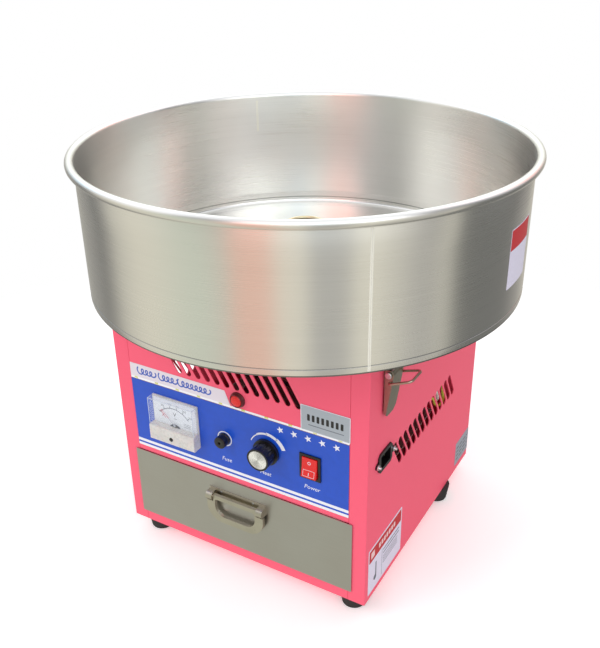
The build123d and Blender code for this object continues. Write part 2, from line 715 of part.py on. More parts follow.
def make_meter():
    """Panel voltmeter: case, clear cover, dial and needle."""
    mx, mz = METER_AT
    left, right = mx - METER_W / 2, mx + METER_W / 2
    low, high = mz - METER_H / 2, mz + METER_H / 2
    step = mz + METER_STEP
    with BuildPart() as meter_case:
        block(left, right, FACE_Y - 2, FACE_Y, low, high)
        block(left, right, FACE_Y - 12.4, FACE_Y - 2, low, step)
        fillet(meter_case.edges().filter_by(Axis.X).group_by(Axis.Y)[0], 1.2)
        peg(mx, mz, FACE_Y - 0.5, FACE_Y + 38, 25.5)
        peg(mx - 1, low + 7.5, FACE_Y - 13, FACE_Y - 11, 2.6, Mode.SUBTRACT)
    save(meter_case, "meter_case")
    with BuildPart() as meter_cover:
        block(left, right, FACE_Y - 11.6, FACE_Y - 2, step, high)
        block(left + 1.2, right - 1.2, FACE_Y - 10.4, FACE_Y - 1, step - 1, high - 1.2, Mode.SUBTRACT)
    save(meter_cover, "meter_cover")
    with BuildPart() as meter_dial:
        block(left + 1.6, right - 1.6, FACE_Y - 3, FACE_Y - 2, step + 0.1, high - 1.6)
    save(meter_dial, "meter_dial")
    with BuildPart() as meter_needle:
        peg(NEEDLE_AT[0], NEEDLE_AT[1], FACE_Y - 7, FACE_Y - 3.6, 2.2)
        with BuildSketch(Plane.XZ.offset(-FACE_Y + 5)):
            with Locations(NEEDLE_AT):
                Polygon((0, 0.8), (25, 0.3), (25, -0.3), (0, -0.8), rotation=NEEDLE_REST, align=None)
        extrude(amount=0.8)
    save(meter_needle, "meter_needle")


def make_fuse():
    """Fuse holder through the panel, its screw cap and the glass fuse."""
    fx, fz = FUSE_AT
    with BuildPart() as fuse_holder:
        peg(fx, fz, FACE_Y, FACE_Y + 38, 6.1)
        peg(fx, fz, FACE_Y - 1.6, FACE_Y, 7.6)
        with BuildSketch(Plane.XZ.offset(HALF_D - SHEET)):
            with Locations(FUSE_AT):
                RegularPolygon(9.5, 6)
        extrude(amount=-4)
        peg(fx, fz, FACE_Y - 2, FACE_Y + 34, 3.5, Mode.SUBTRACT)
    save(fuse_holder, "fuse_holder")
    with BuildPart() as fuse_cap:
        peg(fx, fz, FACE_Y - 11, FACE_Y - 1.9, 7.4)
        fillet(fuse_cap.edges().filter_by(GeomType.CIRCLE).group_by(Axis.Y)[0], 1)
        peg(fx, fz, FACE_Y - 2, FACE_Y + 4, 3.2)
        peg(fx, fz, FACE_Y - 12, FACE_Y - 9, 1.6, Mode.SUBTRACT)
    save(fuse_cap, "fuse_cap")
    with BuildPart() as fuse_cartridge:
        peg(fx, fz, FACE_Y + 4, FACE_Y + 24, 2.6)
    save(fuse_cartridge, "fuse_cartridge")


KNOB_FLUTES = 10
KNOB_FACE_Y = FACE_Y - 19.6


def make_heat_knob():
    """Fluted skirted knob, its spindle and the controller behind the panel."""
    kx, kz = KNOB_AT
    with BuildPart() as heat_knob:
        peg(kx, kz, FACE_Y - 4, FACE_Y - 0.6, 16)
        peg(kx, kz, KNOB_FACE_Y, FACE_Y - 4, 13.6)
        with BuildSketch(Plane.XZ.offset(-FACE_Y + 5)):
            with Locations(KNOB_AT):
                with PolarLocations(15.2, KNOB_FLUTES):
                    Circle(2.6)
        extrude(amount=11, mode=Mode.SUBTRACT)
        peg(kx, kz, KNOB_FACE_Y - 1, KNOB_FACE_Y + 0.6, 11.4, Mode.SUBTRACT)
        peg(kx, kz, FACE_Y - 14, FACE_Y, 3.0, Mode.SUBTRACT)
    save(heat_knob, "heat_knob")
    with BuildPart() as control_spindle:
        peg(kx, kz, FACE_Y - 14, FACE_Y + 14, 3.0)
    save(control_spindle, "control_spindle")
    with BuildPart() as heat_controller:
        block(kx - 22, kx + 22, FRONT_Y + SHEET, FRONT_Y + 32, kz - 22, kz + 22)
        peg(kx, kz, FRONT_Y, FACE_Y + 16, 3.06, Mode.SUBTRACT)
    save(heat_controller, "heat_controller")


ROCKER_REST = 8.0


def make_switch():
    """Rocker switch, pressed at the top."""
    sx, sz = SWITCH_AT
    with BuildPart() as switch_housing:
        block(sx - 13, sx + 13, FACE_Y - 1.8, FACE_Y, sz - 15.9, sz + 15.9)
        block(sx - 11, sx + 11, FACE_Y, FACE_Y + 26, sz - 14, sz + 14)
        block(sx - 9.6, sx + 9.6, FACE_Y - 3, FACE_Y + 14, sz - 12.9, sz + 12.9, Mode.SUBTRACT)
    save(switch_housing, "switch_housing")
    with BuildPart() as power_rocker:
        with BuildSketch(Plane.YZ.offset(sx - 9.2)):
            with Locations((FACE_Y, sz)):
                Polygon((-4.4, 12), (-3.4, 0), (-4.4, -12), (2, -12), (8, -3), (8, 3), (2, 12),
                        rotation=-ROCKER_REST, align=None)
        extrude(amount=18.4)
    save(power_rocker, "power_rocker")


def make_indicator_lamp():
    """Round neon lamp with its bezel."""
    lx, lz = LAMP_AT
    with BuildPart() as indicator_lamp:
        peg(lx, lz, FRONT_Y - 1.8, FRONT_Y, 9.4)
        peg(lx, lz, FRONT_Y - 6, FRONT_Y + 26, 7.3)
        fillet(indicator_lamp.edges().filter_by(GeomType.CIRCLE).group_by(Axis.Y)[0], 1.2)
    save(indicator_lamp, "indicator_lamp")


def make_mains_inlet():
    """Screwed mains inlet in the right-hand wall, and its three blades."""
    iy, iz = INLET_AT
    with BuildPart() as mains_inlet:
        with BuildSketch(Plane.YZ.offset(HALF_W)) as flange:
            with Locations(INLET_AT):
                face_plate = Rectangle(34, 24.5)
            chamfer(flange.vertices(), 4)
            with Locations(INLET_AT):
                SlotOverall(46.5, 7.4)
            with Locations(INLET_AT):
                with GridLocations(INLET_SCREWS, 0, 2, 1):
                    Circle(1.7, mode=Mode.SUBTRACT)
        extrude(amount=1.8)
        block(HALF_W - 18, HALF_W, iy - 13.4, iy + 13.4, iz - 9.9, iz + 9.9)
        block(HALF_W - 14, HALF_W + 4, iy - 12, iy + 12, iz - 8.1, iz + 8.1, Mode.SUBTRACT)
        for dy, dz in BLADES:
            block(HALF_W - 20, HALF_W - 13, iy + dy - 1.05, iy + dy + 1.05, iz + dz - 2.05, iz + dz + 2.05,
                  Mode.SUBTRACT)
    save(mains_inlet, "mains_inlet")
    with BuildPart() as inlet_pins:
        for dy, dz in BLADES:
            block(HALF_W - 26, HALF_W - 3, iy + dy - 1, iy + dy + 1, iz + dz - 2, iz + dz + 2)
    save(inlet_pins, "inlet_pins")


BLADES = [(-7, -1.5), (0, 1.5), (7, -1.5)]


def make_earth_lead():
    """Earth wire from the inlet to a stud on the right-hand wall."""
    with BuildPart() as earth_lead:
        with BuildLine() as route:
            FilletPolyline((139, -124.2, 202.5), (124, -124.2, 202.5), (122, -92, 212), (132, -56, 214),
                           (142, -20, 204), (146, 12, 188), (148, 38, 176), (152, 60, 182), (154, 72, 202),
                           (158, 78, 222), radius=[7, 22, 30, 34, 30, 16, 14, 22])
        with BuildSketch(Plane(origin=route.line @ 0, z_dir=route.line % 0)):
            Circle(1.6)
        sweep()
    save(earth_lead, "earth_lead")


SPINDLE_BOLTS = [(DECK_BOLT_R * cos(a * pi / 4), DECK_BOLT_R * sin(a * pi / 4)) for a in (1, 3, 5, 7)]

make_base_plate()
right_side_panel = make_side_panel(inlet=True)
save(right_side_panel, "right_side_panel")
make_left_panel(make_side_panel(inlet=False))
make_front_panel()
make_control_overlay()
make_rear_panel()
make_deck_plate()
make_rubber_feet()
make_machine_screws()
make_drawer_front()
make_drawer_tray()
make_drawer_handle_bracket()
make_drawer_handle_loop()
make_handle_screws()
make_drawer_runners()
make_pair(make_latch_base(), "latch_base")
make_pair(make_latch_lever(), "latch_lever")
make_pair(make_latch_bail(), "latch_bail")
make_latch_pins()
make_bowl_wall()
make_bowl_floor()
make_bowl_catches()
make_spinner_shaft()
make_spinner_base()
make_spinner_cover()
make_sugar_collar()
make_heater_ribbon()
make_ribbon_insulators()
make_cover_screws()
make_slip_rings()
make_pulley("driven_pulley", 0, DRIVEN_R, BORE_R)
make_pulley("drive_pulley", MOTOR_Y, DRIVER_R, 5.02)
make_drive_belt()
make_spindle_bearings()
make_bearing_housing()
make_brush_gear()
make_motor()
make_meter()
make_fuse()
make_heat_knob()
make_switch()
make_indicator_lamp()
make_mains_inlet()
make_earth_lead()
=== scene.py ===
"""Cotton candy machine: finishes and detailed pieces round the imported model.

Pieces are drawn in millimetres, put in place, and become objects in metres on the body they move with.
"""

import json
from math import cos, exp, pi, radians, sin

import bmesh
import bpy
from mathutils import Matrix, Vector

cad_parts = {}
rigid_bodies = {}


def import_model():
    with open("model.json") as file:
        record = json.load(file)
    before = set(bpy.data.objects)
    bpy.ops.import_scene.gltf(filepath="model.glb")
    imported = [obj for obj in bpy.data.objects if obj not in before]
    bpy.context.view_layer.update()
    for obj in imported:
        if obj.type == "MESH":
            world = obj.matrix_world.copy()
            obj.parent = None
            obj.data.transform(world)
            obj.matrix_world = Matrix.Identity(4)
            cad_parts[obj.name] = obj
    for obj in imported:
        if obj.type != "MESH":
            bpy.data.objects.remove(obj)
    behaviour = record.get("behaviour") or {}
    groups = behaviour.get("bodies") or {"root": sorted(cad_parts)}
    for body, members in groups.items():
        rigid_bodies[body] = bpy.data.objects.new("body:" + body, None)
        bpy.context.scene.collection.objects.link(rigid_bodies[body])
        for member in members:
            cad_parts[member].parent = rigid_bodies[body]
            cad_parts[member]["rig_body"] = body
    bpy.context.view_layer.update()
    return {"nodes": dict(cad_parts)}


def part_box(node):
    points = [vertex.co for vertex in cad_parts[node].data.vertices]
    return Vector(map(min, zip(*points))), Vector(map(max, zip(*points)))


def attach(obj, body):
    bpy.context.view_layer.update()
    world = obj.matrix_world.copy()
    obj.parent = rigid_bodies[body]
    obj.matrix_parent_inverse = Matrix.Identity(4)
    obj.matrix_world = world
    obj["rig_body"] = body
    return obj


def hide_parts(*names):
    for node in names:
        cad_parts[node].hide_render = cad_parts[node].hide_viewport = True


bl_info = {
    "name": "Cotton Candy Machine",
    "version": (1, 0, 0),
    "blender": (4, 5, 0),
    "location": "3D Viewport > Sidebar > Candy Machine",
    "description": "Dresses the packed cotton candy machine with its finishes and fine pieces",
    "category": "Add Mesh",
}

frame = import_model()
MM = 0.001


def span(node):
    """Lowest and highest corner of a CAD node, in millimetres."""
    low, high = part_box(node)
    return low / MM, high / MM


def middle(node):
    """Centre of a CAD node's box, in millimetres."""
    low, high = span(node)
    return (low + high) / 2


PANEL_Y = span("control_overlay")[0].y
FRONT_Y = span("front_panel")[0].y
WALL_X = span("right_side_panel")[1].x
STAND_OFF = 0.05
INK_DEPTH = 0.06
FINE_INK_DEPTH = 0.05


def colour(red, green, blue):
    """Linear colour of a display colour given as 0 to 255."""
    return tuple(
        (c / 255 / 12.92) if c <= 10 else ((c / 255 + 0.055) / 1.055) ** 2.4 for c in (red, green, blue)
    )


# ------------------------------------------------------------------ settings
class CandyMachineColours(bpy.types.PropertyGroup):
    """Colours of the machine's finishes."""

    coat: bpy.props.FloatVectorProperty(
        name="Powder coat", description="Pink coat of the case", subtype="COLOR", size=3,
        default=colour(255, 94, 122),
    )
    film: bpy.props.FloatVectorProperty(
        name="Film", description="Blue field of the control panel", subtype="COLOR", size=3,
        default=colour(10, 76, 198),
    )
    band: bpy.props.FloatVectorProperty(
        name="Title band", description="Pale band over the blue field", subtype="COLOR", size=3,
        default=colour(230, 221, 229),
    )
    steel: bpy.props.FloatVectorProperty(
        name="Stainless steel", description="Brushed steel of the bowl and drawer", subtype="COLOR", size=3,
        default=colour(246, 245, 241),
    )
    ivory: bpy.props.FloatVectorProperty(
        name="Meter moulding", description="Lower half of the meter", subtype="COLOR", size=3,
        default=colour(206, 202, 198),
    )
    rocker: bpy.props.FloatVectorProperty(
        name="Rocker", description="Red of the rocker and the lamp", subtype="COLOR", size=3,
        default=colour(230, 12, 18),
    )
    floor: bpy.props.FloatVectorProperty(
        name="Floor", description="Pale studio floor", subtype="COLOR", size=3,
        default=colour(253, 253, 252),
    )


class CandyMachineSizes(bpy.types.PropertyGroup):
    """Sizes that a user would change, in millimetres."""

    sheet_edge: bpy.props.FloatProperty(
        name="Sheet edge", description="Rounding of the folded sheet's edges, mm",
        default=0.2, min=0.05, max=0.6,
    )
    moulded_edge: bpy.props.FloatProperty(
        name="Moulded edge", description="Rounding of the moulded pieces' edges, mm",
        default=0.5, min=0.05, max=1.0,
    )
    groove_height: bpy.props.FloatProperty(
        name="Groove height", description="Rolled groove above the bowl's lower edge, mm",
        default=8.5, min=4, max=14,
    )
    letter_height: bpy.props.FloatProperty(
        name="Label height", description="Height of the labels under the controls, mm",
        default=7.4, min=3, max=10,
    )
    key_power: bpy.props.FloatProperty(
        name="Key light", description="Power of the main soft light, W",
        default=24.0, min=0, max=200, unit="POWER",
    )
    inner_power: bpy.props.FloatProperty(
        name="Inner light", description="Power of the dim light inside the case, W",
        default=0.14, min=0, max=5, unit="POWER",
    )


# ------------------------------------------------------------------ shader writing
class Socket:
    """A node's output; arithmetic on it adds Math nodes beside it."""

    def __init__(self, paint, output):
        self.paint = paint
        self.output = output

    def maths(self, operation, *values):
        return self.paint.node("ShaderNodeMath", {"operation": operation}, dict(enumerate(values)))

    def __add__(self, other):
        return self.maths("ADD", self, other)

    def __radd__(self, other):
        return self.maths("ADD", other, self)

    def __sub__(self, other):
        return self.maths("SUBTRACT", self, other)

    def __mul__(self, other):
        return self.maths("MULTIPLY", self, other)

    def __rmul__(self, other):
        return self.maths("MULTIPLY", other, self)

    def __truediv__(self, other):
        return self.maths("DIVIDE", self, other)

    def __gt__(self, other):
        return self.maths("GREATER_THAN", self, other)

    def __lt__(self, other):
        return self.maths("LESS_THAN", self, other)

    def within(self, low, high):
        """1 where the value is between the two limits, else 0."""
        return (self > low) * (self < high)


class Paint:
    """A finish: the node tree of one material, or of the world."""

    def __init__(self, owner):
        owner.use_nodes = True
        self.owner = owner
        self.tree = owner.node_tree

    def node(self, kind, settings=None, sockets=None, out=0):
        """Adds a node, sets its settings and then its sockets, and gives back one of its outputs."""
        made = self.tree.nodes.new(kind)
        settings = dict(settings or {})
        stops = settings.pop("stops", None)
        for name, value in settings.items():
            setattr(made, name, value)
        if stops:
            ramp = made.color_ramp
            ramp.interpolation = "EASE"
            while len(ramp.elements) < len(stops):
                ramp.elements.new(0.5)
            for element, (place, tint) in zip(ramp.elements, stops):
                element.position = place
                element.color = (*tint, 1)
        for name, value in (sockets or {}).items():
            self.plug(made.inputs[name], value)
        return Socket(self, made.outputs[out])

    def plug(self, socket, value):
        """Links a socket to a Socket, or sets its number, vector or colour."""
        if isinstance(value, Socket):
            self.tree.links.new(value.output, socket)
        elif socket.type == "RGBA":
            socket.default_value = (*tuple(value)[:3], 1)
        else:
            socket.default_value = value

    def surface(self, **sockets):
        """Sets the Principled surface's sockets, written with _ for a space."""
        shader = self.tree.nodes["Principled BSDF"]
        for name, value in sockets.items():
            self.plug(shader.inputs[name.replace("_", " ")], value)

    def place(self):
        """Object coordinates, in metres."""
        return self.node("ShaderNodeTexCoord", out="Object")

    def axes(self):
        """Object coordinates as three numbers in millimetres."""
        split = self.node("ShaderNodeSeparateXYZ", sockets={"Vector": self.place()}).output.node
        return tuple(Socket(self, split.outputs[i]) * 1000 for i in range(3))

    def stretched(self, x, y, z):
        """Object coordinates times a number along each axis."""
        return self.node("ShaderNodeVectorMath", {"operation": "MULTIPLY"}, {0: self.place(), 1: (x, y, z)})

    def noise(self, x, y, z, detail=2.0, roughness=0.5):
        """Noise from 0 to 1 with so many cells a metre along each axis."""
        return self.node(
            "ShaderNodeTexNoise", sockets={
                "Vector": self.stretched(x, y, z), "Scale": 1.0, "Detail": detail, "Roughness": roughness,
            },
        )

    def mix(self, factor, first, second, blend="MIX"):
        """Blends two colours."""
        settings = {"data_type": "RGBA", "blend_type": blend}
        return self.node("ShaderNodeMix", settings, {0: factor, 6: first, 7: second}, out=2)

    def bump(self, height, strength, distance):
        """A normal bent by a height; distance is in millimetres."""
        return self.node(
            "ShaderNodeBump", sockets={"Strength": strength, "Distance": distance * MM, "Height": height}
        )


FINISH_END = "_finish"


def new_paint(name):
    """A new material opened for painting."""
    return Paint(bpy.data.materials.new(name + FINISH_END))


def shade(tint, share):
    """A colour made lighter or darker by a share."""
    return tuple(min(1.0, c * share) for c in tint)


# ------------------------------------------------------------------ finishes
def pink_coat(tones):
    paint = new_paint("pink_coat")
    cloud = paint.noise(9, 9, 9, 2)
    peel = paint.noise(1300, 1300, 1300, 1)
    tint = paint.mix(cloud, shade(tones.coat, 0.965), shade(tones.coat, 1.03))
    paint.surface(
        Base_Color=tint, Roughness=0.42 + 0.1 * peel, Normal=paint.bump(peel, 0.12, 0.12),
        Coat_Weight=0.15, Coat_Roughness=0.12, IOR=1.42,
    )
    return paint.owner


def printed_film(tones):
    paint = new_paint("printed_film")
    x, _, z = paint.axes()
    grain = paint.noise(160, 160, 160, 3)
    blue = paint.mix(grain, shade(tones.film, 0.9), shade(tones.film, 1.1))
    stripes = z.within(140.0, 143.7) + z.within(146.2, 150.0)
    banded = paint.mix(stripes, blue, (0.86, 0.86, 0.9))
    rule_low, title_low = 234.8, 237.9
    titled = paint.mix(z > rule_low, banded, paint.mix(z > title_low, (0.92, 0.92, 0.95), tones.band))
    edged = paint.mix(z.within(rule_low - 0.4, 235.0), titled, colour(120, 52, 60))
    fleck_pitch = 29.9
    phase = x.maths("FRACT", (x + 390.1) / fleck_pitch)
    fleck = z.within(235.6, 237.7) * phase.within(0.42, 0.58)
    flecked = paint.mix(fleck, edged, colour(218, 220, 120))
    paint.surface(
        Base_Color=flecked, Roughness=0.3 + 0.12 * grain, Coat_Weight=0.25, Coat_Roughness=0.1,
        Normal=paint.bump(paint.noise(700, 700, 700, 1), 0.05, 0.05),
    )
    return paint.owner


def print_ink(name, tint):
    paint = new_paint(name)
    speck = paint.noise(900, 900, 900, 2)
    printed = paint.mix(speck, shade(tint, 0.9), shade(tint, 1.06))
    paint.surface(Base_Color=printed, Roughness=0.4 + 0.1 * speck)
    return paint.owner


def turned_streaks(paint, rings):
    """Noise drawn out round the upright axis: fine lines on a wall, circles on a flat floor."""
    x, y, z = paint.axes()
    radius = x.maths("SQRT", x * x + y * y)
    level = radius * rings + z * rings
    lines = paint.node("ShaderNodeCombineXYZ", sockets={0: x * 0.004, 1: y * 0.004, 2: level})
    return paint.node(
        "ShaderNodeTexNoise", sockets={"Vector": lines, "Scale": 1.0, "Detail": 3.0, "Roughness": 0.6}
    )


def bowl_steel(tones):
    paint = new_paint("bowl_steel")
    fine = turned_streaks(paint, 2.2)
    broad = turned_streaks(paint, 0.12)
    smudge = paint.noise(7, 7, 7, 4)
    tint = paint.mix(fine * 0.6 + broad * 0.4, shade(tones.steel, 0.88), shade(tones.steel, 1.06))
    tint = paint.mix(smudge * 0.3, tint, shade(tones.steel, 0.86))
    x, y, z = paint.axes()
    bottom = span("bowl_wall")[0].z
    groove = bottom + bpy.context.scene.candy_sizes.groove_height
    outside = x.maths("SQRT", x * x + y * y) > 248.6
    # painted shade: the outer wall is darkened in its rolled groove
    tint = paint.mix(outside * z.within(groove - 0.7, groove + 0.5), tint, shade(tones.steel, 0.4))
    # painted shade: the outer wall is darkened along its rounded lower edge
    tint = paint.mix(outside * (z < bottom + 2.2), tint, shade(tones.steel, 0.3))
    paint.surface(
        Base_Color=tint, Metallic=1.0, Roughness=0.14 + 0.06 * outside + 0.1 * fine + 0.08 * smudge,
        Anisotropic=0.75, Anisotropic_Rotation=0.25, Normal=paint.bump(fine, 0.06, 0.05),
    )
    return paint.owner


def brushed_stainless(tones):
    paint = new_paint("brushed_stainless")
    lines = paint.noise(14, 900, 900, 3, 0.6)
    smudge = paint.noise(16, 16, 16, 4)
    tint = paint.mix(lines, shade(tones.steel, 0.54), shade(tones.steel, 0.64))
    tint = paint.mix(smudge * 0.5, tint, colour(178, 170, 162))
    paint.surface(
        Base_Color=tint, Metallic=1.0, Roughness=0.3 + 0.14 * lines, Anisotropic=0.5,
        Anisotropic_Rotation=0.25, Normal=paint.bump(lines, 0.06, 0.05),
    )
    return paint.owner


def metal(name, tint, rough, grain=500, depth=0.05, dark=0.8, bare=1.0):
    """Bare or plated metal with a fine uneven surface, or a satin one where it is less bare."""
    paint = new_paint(name)
    speck = paint.noise(grain, grain, grain, 3)
    cloud = paint.noise(60, 60, 60, 3)
    paint.surface(
        Base_Color=paint.mix(cloud, shade(tint, dark), shade(tint, 1.1)), Metallic=bare,
        Roughness=rough + 0.12 * speck, Normal=paint.bump(speck, 0.2, depth),
    )
    return paint.owner


def moulding(name, tint, rough, grain=800, depth=0.03, coat=0.0):
    """Moulded plastic or rubber with a fine moulded texture."""
    paint = new_paint(name)
    speck = paint.noise(grain, grain, grain, 2)
    cloud = paint.noise(40, 40, 40, 2)
    paint.surface(
        Base_Color=paint.mix(cloud, shade(tint, 0.88), shade(tint, 1.1)), Roughness=rough + 0.12 * speck,
        Coat_Weight=coat, Coat_Roughness=0.08, Normal=paint.bump(speck, 0.25, depth),
    )
    return paint.owner


def milky_moulding_painted_glow(tones):
    """Milky plastic with a little subsurface scattering, a painted glow from emission of its own colour, and
    darker cloud painted as the shadows of what is behind it.
    """
    paint = new_paint("ivory_plastic")
    cloud = paint.noise(55, 90, 90, 3)
    speck = paint.noise(260, 260, 260, 2)
    tint = paint.mix(cloud, shade(tones.ivory, 0.8), shade(tones.ivory, 1.08))
    # painted light: the emission is a painted glow, and the darker cloud in the tint is painted shadow
    paint.surface(
        Base_Color=tint, Roughness=0.22 + 0.12 * speck, Coat_Weight=0.4, Coat_Roughness=0.08,
        Subsurface_Weight=0.25, Subsurface_Scale=0.004, Emission_Color=tint, Emission_Strength=0.16,
    )
    return paint.owner


def clear(name, tint, thin, thick, blend=0.35):
    """Clear moulding that is seen through face on and whitens at a glancing angle."""
    paint = new_paint(name)
    facing = paint.node("ShaderNodeLayerWeight", sockets={"Blend": blend}, out="Facing")
    haze = paint.noise(300, 300, 300, 2)
    paint.surface(
        Base_Color=tint, Roughness=0.06 + 0.05 * haze, Alpha=thin + (thick - thin) * facing,
        Coat_Weight=1.0, Coat_Roughness=0.03,
    )
    return paint.owner


def dial_card(tones):
    paint = new_paint("white_dial")
    fibre = paint.noise(600, 600, 600, 3)
    card = paint.mix(fibre, colour(222, 226, 232), colour(240, 243, 246))
    paint.surface(Base_Color=card, Roughness=0.55 + 0.1 * fibre)
    return paint.owner


def spun_insert(tones):
    """Spun aluminium disc: fine circles, and painted highlights: two wedges of lighter colour round the
    centre stand in for the light that the circles throw.
    """
    paint = new_paint("spun_insert")
    x, _, z = paint.axes()
    at = middle("heat_knob")
    dx = x - at.x
    dz = z - at.z
    radius = dx.maths("SQRT", dx * dx + dz * dz)
    angle = dx.maths("ARCTAN2", dz, dx)
    painted_highlight_wedge = 0.5 + 0.5 * angle.maths("COSINE", angle * 2 + 0.9)
    rings = radius.maths("SINE", radius * 14)
    # painted highlight: the colour lightens in two wedges round the knob's centre
    tint = paint.mix(painted_highlight_wedge, colour(196, 194, 190), colour(255, 254, 250))
    paint.surface(
        Base_Color=tint, Metallic=0.55, Roughness=0.28 + 0.05 * rings, Normal=paint.bump(rings, 0.1, 0.05)
    )
    return paint.owner


def needle_paint(tones):
    """Red towards the needle's tip and pale towards its pivot."""
    paint = new_paint("needle_paint")
    _, _, z = paint.axes()
    low, high = span("meter_needle")
    climb = (z - low.z) / (high.z - low.z)
    speck = paint.noise(900, 900, 900, 2)
    halves = paint.mix(climb > 0.5, colour(178, 180, 188), colour(214, 74, 88))
    paint.surface(Base_Color=halves, Roughness=0.4 + 0.1 * speck)
    return paint.owner


def rating_plate(tones):
    """Satin plate with faint rows where its figures would be."""
    paint = new_paint("rating_plate")
    _, y, z = paint.axes()
    rows = z.maths("FRACT", z / 6.2)
    column = y.maths("FRACT", y / 13.0)
    low, high = 36, 61
    marks = rows.within(0.3, 0.56) * column.within(0.1, 0.85) * z.within(low, high) * y.within(120, 161)
    speck = paint.noise(700, 700, 700, 2)
    tint = paint.mix(marks, paint.mix(speck, (0.44, 0.49, 0.56), (0.52, 0.57, 0.64)), (0.1, 0.11, 0.13))
    paint.surface(Base_Color=tint, Metallic=0.45, Roughness=0.38 + 0.1 * speck)
    return paint.owner


# tint, roughness, then grain, depth of the grain, darkest share of the tint, and bareness
METALS = {
    "screw_steel": (colour(226, 231, 238), 0.26),
    "handle_steel": (colour(200, 194, 180), 0.24, 400, 0.04),
    # near-white and barely metallic: painted highlight on the weld beads
    "weld_line": (colour(255, 252, 236), 0.3, 300, 0.02, 0.94, 0.15),
    "latch_steel": (colour(176, 172, 156), 0.3, 500, 0.04),
    "bail_wire": (colour(196, 178, 164), 0.24, 900, 0.03, 0.7),
    "brass": (colour(232, 218, 184), 0.2, 700, 0.02),
    "galvanised_steel": (colour(190, 190, 176), 0.3, 220, 0.03),
    "turned_steel": (colour(190, 190, 190), 0.25),
    "cast_aluminium": (colour(216, 214, 208), 0.3, 420, 0.04),
    "heater_alloy": (colour(120, 104, 96), 0.42, 300, 0.05),
}

# tint, roughness, then grain, depth of the grain, and weight of the gloss coat
MOULDINGS = {
    "black_rubber": (colour(42, 40, 42), 0.62, 500, 0.08),
    "mica": (colour(206, 190, 150), 0.4, 300, 0.06),
    "black_phenolic": (colour(20, 18, 21), 0.24, 900, 0.02, 0.25),
    "carbon": (colour(50, 50, 52), 0.5, 900, 0.03),
    "red_paint": (colour(190, 30, 30), 0.35),
    "earth_sleeve": (colour(196, 204, 70), 0.4),
    "bezel_brown": (colour(86, 22, 26), 0.25, 900, 0.02, 0.5),
    "white_sleeve": (colour(226, 226, 220), 0.4),
}

# tint, opacity face on and at a glancing angle, then the blend between them
CLEARS = {
    "clear_plastic": (colour(226, 236, 250), 0.03, 0.34, 0.2),
    # bright rods along the meter cover's edges: painted highlight
    "cover_edge": (colour(232, 242, 255), 0.55, 0.95),
    "glass": (colour(225, 235, 235), 0.2, 0.8),
}

INKS = {
    "white_ink": (colour(238, 238, 246),),
    "blue_ink": (colour(70, 100, 190),),
    "pale_ink": (colour(244, 205, 205),),
    "grey_ink": (colour(112, 118, 128),),
    "black_ink": (colour(40, 40, 42),),
    "red_ink": (colour(205, 40, 50),),
    "label_paper": (colour(226, 222, 240),),
}

OWN_WAYS = {
    "pink_coat": pink_coat,
    "printed_film": printed_film,
    "brushed_stainless": brushed_stainless,
    "bowl_steel": bowl_steel,
    "needle_paint": needle_paint,
    "ivory_plastic": milky_moulding_painted_glow,
    "white_dial": dial_card,
    "red_plastic": lambda tones: moulding("red_plastic", tones.rocker, 0.2, 900, 0.015, 0.5),
    "spun_insert": spun_insert,
    "rating_plate": rating_plate,
}


def finish(name):
    """The finish of that name, painted the first time that it is wanted."""
    painted = bpy.data.materials.get(name + FINISH_END)
    if painted:
        return painted
    for way, table in ((metal, METALS), (moulding, MOULDINGS), (clear, CLEARS), (print_ink, INKS)):
        if name in table:
            return way(name, *table[name])
    if name in OWN_WAYS:
        return OWN_WAYS[name](bpy.context.scene.candy_colours)
    raise RuntimeError(f"no finish is written for {name}")


# ------------------------------------------------------------------ shaping
def on_front(x, z, y=None):
    """Place for a piece on the front: X runs right, Y up and Z out of the panel."""
    return Matrix(((1, 0, 0, x), (0, 0, -1, PANEL_Y if y is None else y), (0, 1, 0, z), (0, 0, 0, 1)))


def on_side(y, z, x=None):
    """Place for a piece on the right-hand wall: X runs to the rear, Y up and Z out of the wall."""
    return Matrix(((0, 0, 1, WALL_X if x is None else x), (1, 0, 0, y), (0, 1, 0, z), (0, 0, 0, 1)))


def moved(bm, place):
    """Puts the whole bmesh in place."""
    bmesh.ops.transform(bm, matrix=place, verts=bm.verts)
    return bm


def ease(bm, width, segments=2, over=30.0, near=None):
    """Rounds every edge that turns by more than an angle, or only those that near() picks."""
    edges = [
        e for e in bm.edges
        if len(e.link_faces) == 2 and e.calc_face_angle(0) > radians(over) and (near is None or near(e))
    ]
    bmesh.ops.bevel(
        bm, geom=edges, offset=width, offset_type="OFFSET", segments=segments, profile=0.5,
        affect="EDGES", clamp_overlap=True, material=-1,
    )
    return bm


def turned(profile, place=None, steps=96, closed=True):
    """Spins (radius, height) points once round the place's Z axis."""
    bm = bmesh.new()
    points = [bm.verts.new((radius, 0, height)) for radius, height in profile]
    ends = points[1:] + points[:1] if closed else points[1:]
    edges = [bm.edges.new(pair) for pair in zip(points, ends)]
    bmesh.ops.spin(
        bm, geom=points + edges, cent=(0, 0, 0), axis=(0, 0, 1), dvec=(0, 0, 0), angle=2 * pi, steps=steps,
        use_merge=True, use_duplicate=False,
    )
    bmesh.ops.remove_doubles(bm, verts=bm.verts, dist=0.001)
    bmesh.ops.recalc_face_normals(bm, faces=bm.faces)
    return moved(bm, place or Matrix())


def raised(bm, depth):
    """Raises a flat face that faces +Z into a plate of that depth, and closes its back."""
    for face in bm.faces:
        if face.normal.z < 0:
            face.normal_flip()
    made = bmesh.ops.extrude_face_region(bm, geom=list(bm.faces), use_keep_orig=True)
    top = [v for v in made["geom"] if isinstance(v, bmesh.types.BMVert)]
    bmesh.ops.translate(bm, vec=(0, 0, depth), verts=top)
    bmesh.ops.recalc_face_normals(bm, faces=bm.faces)
    return bm


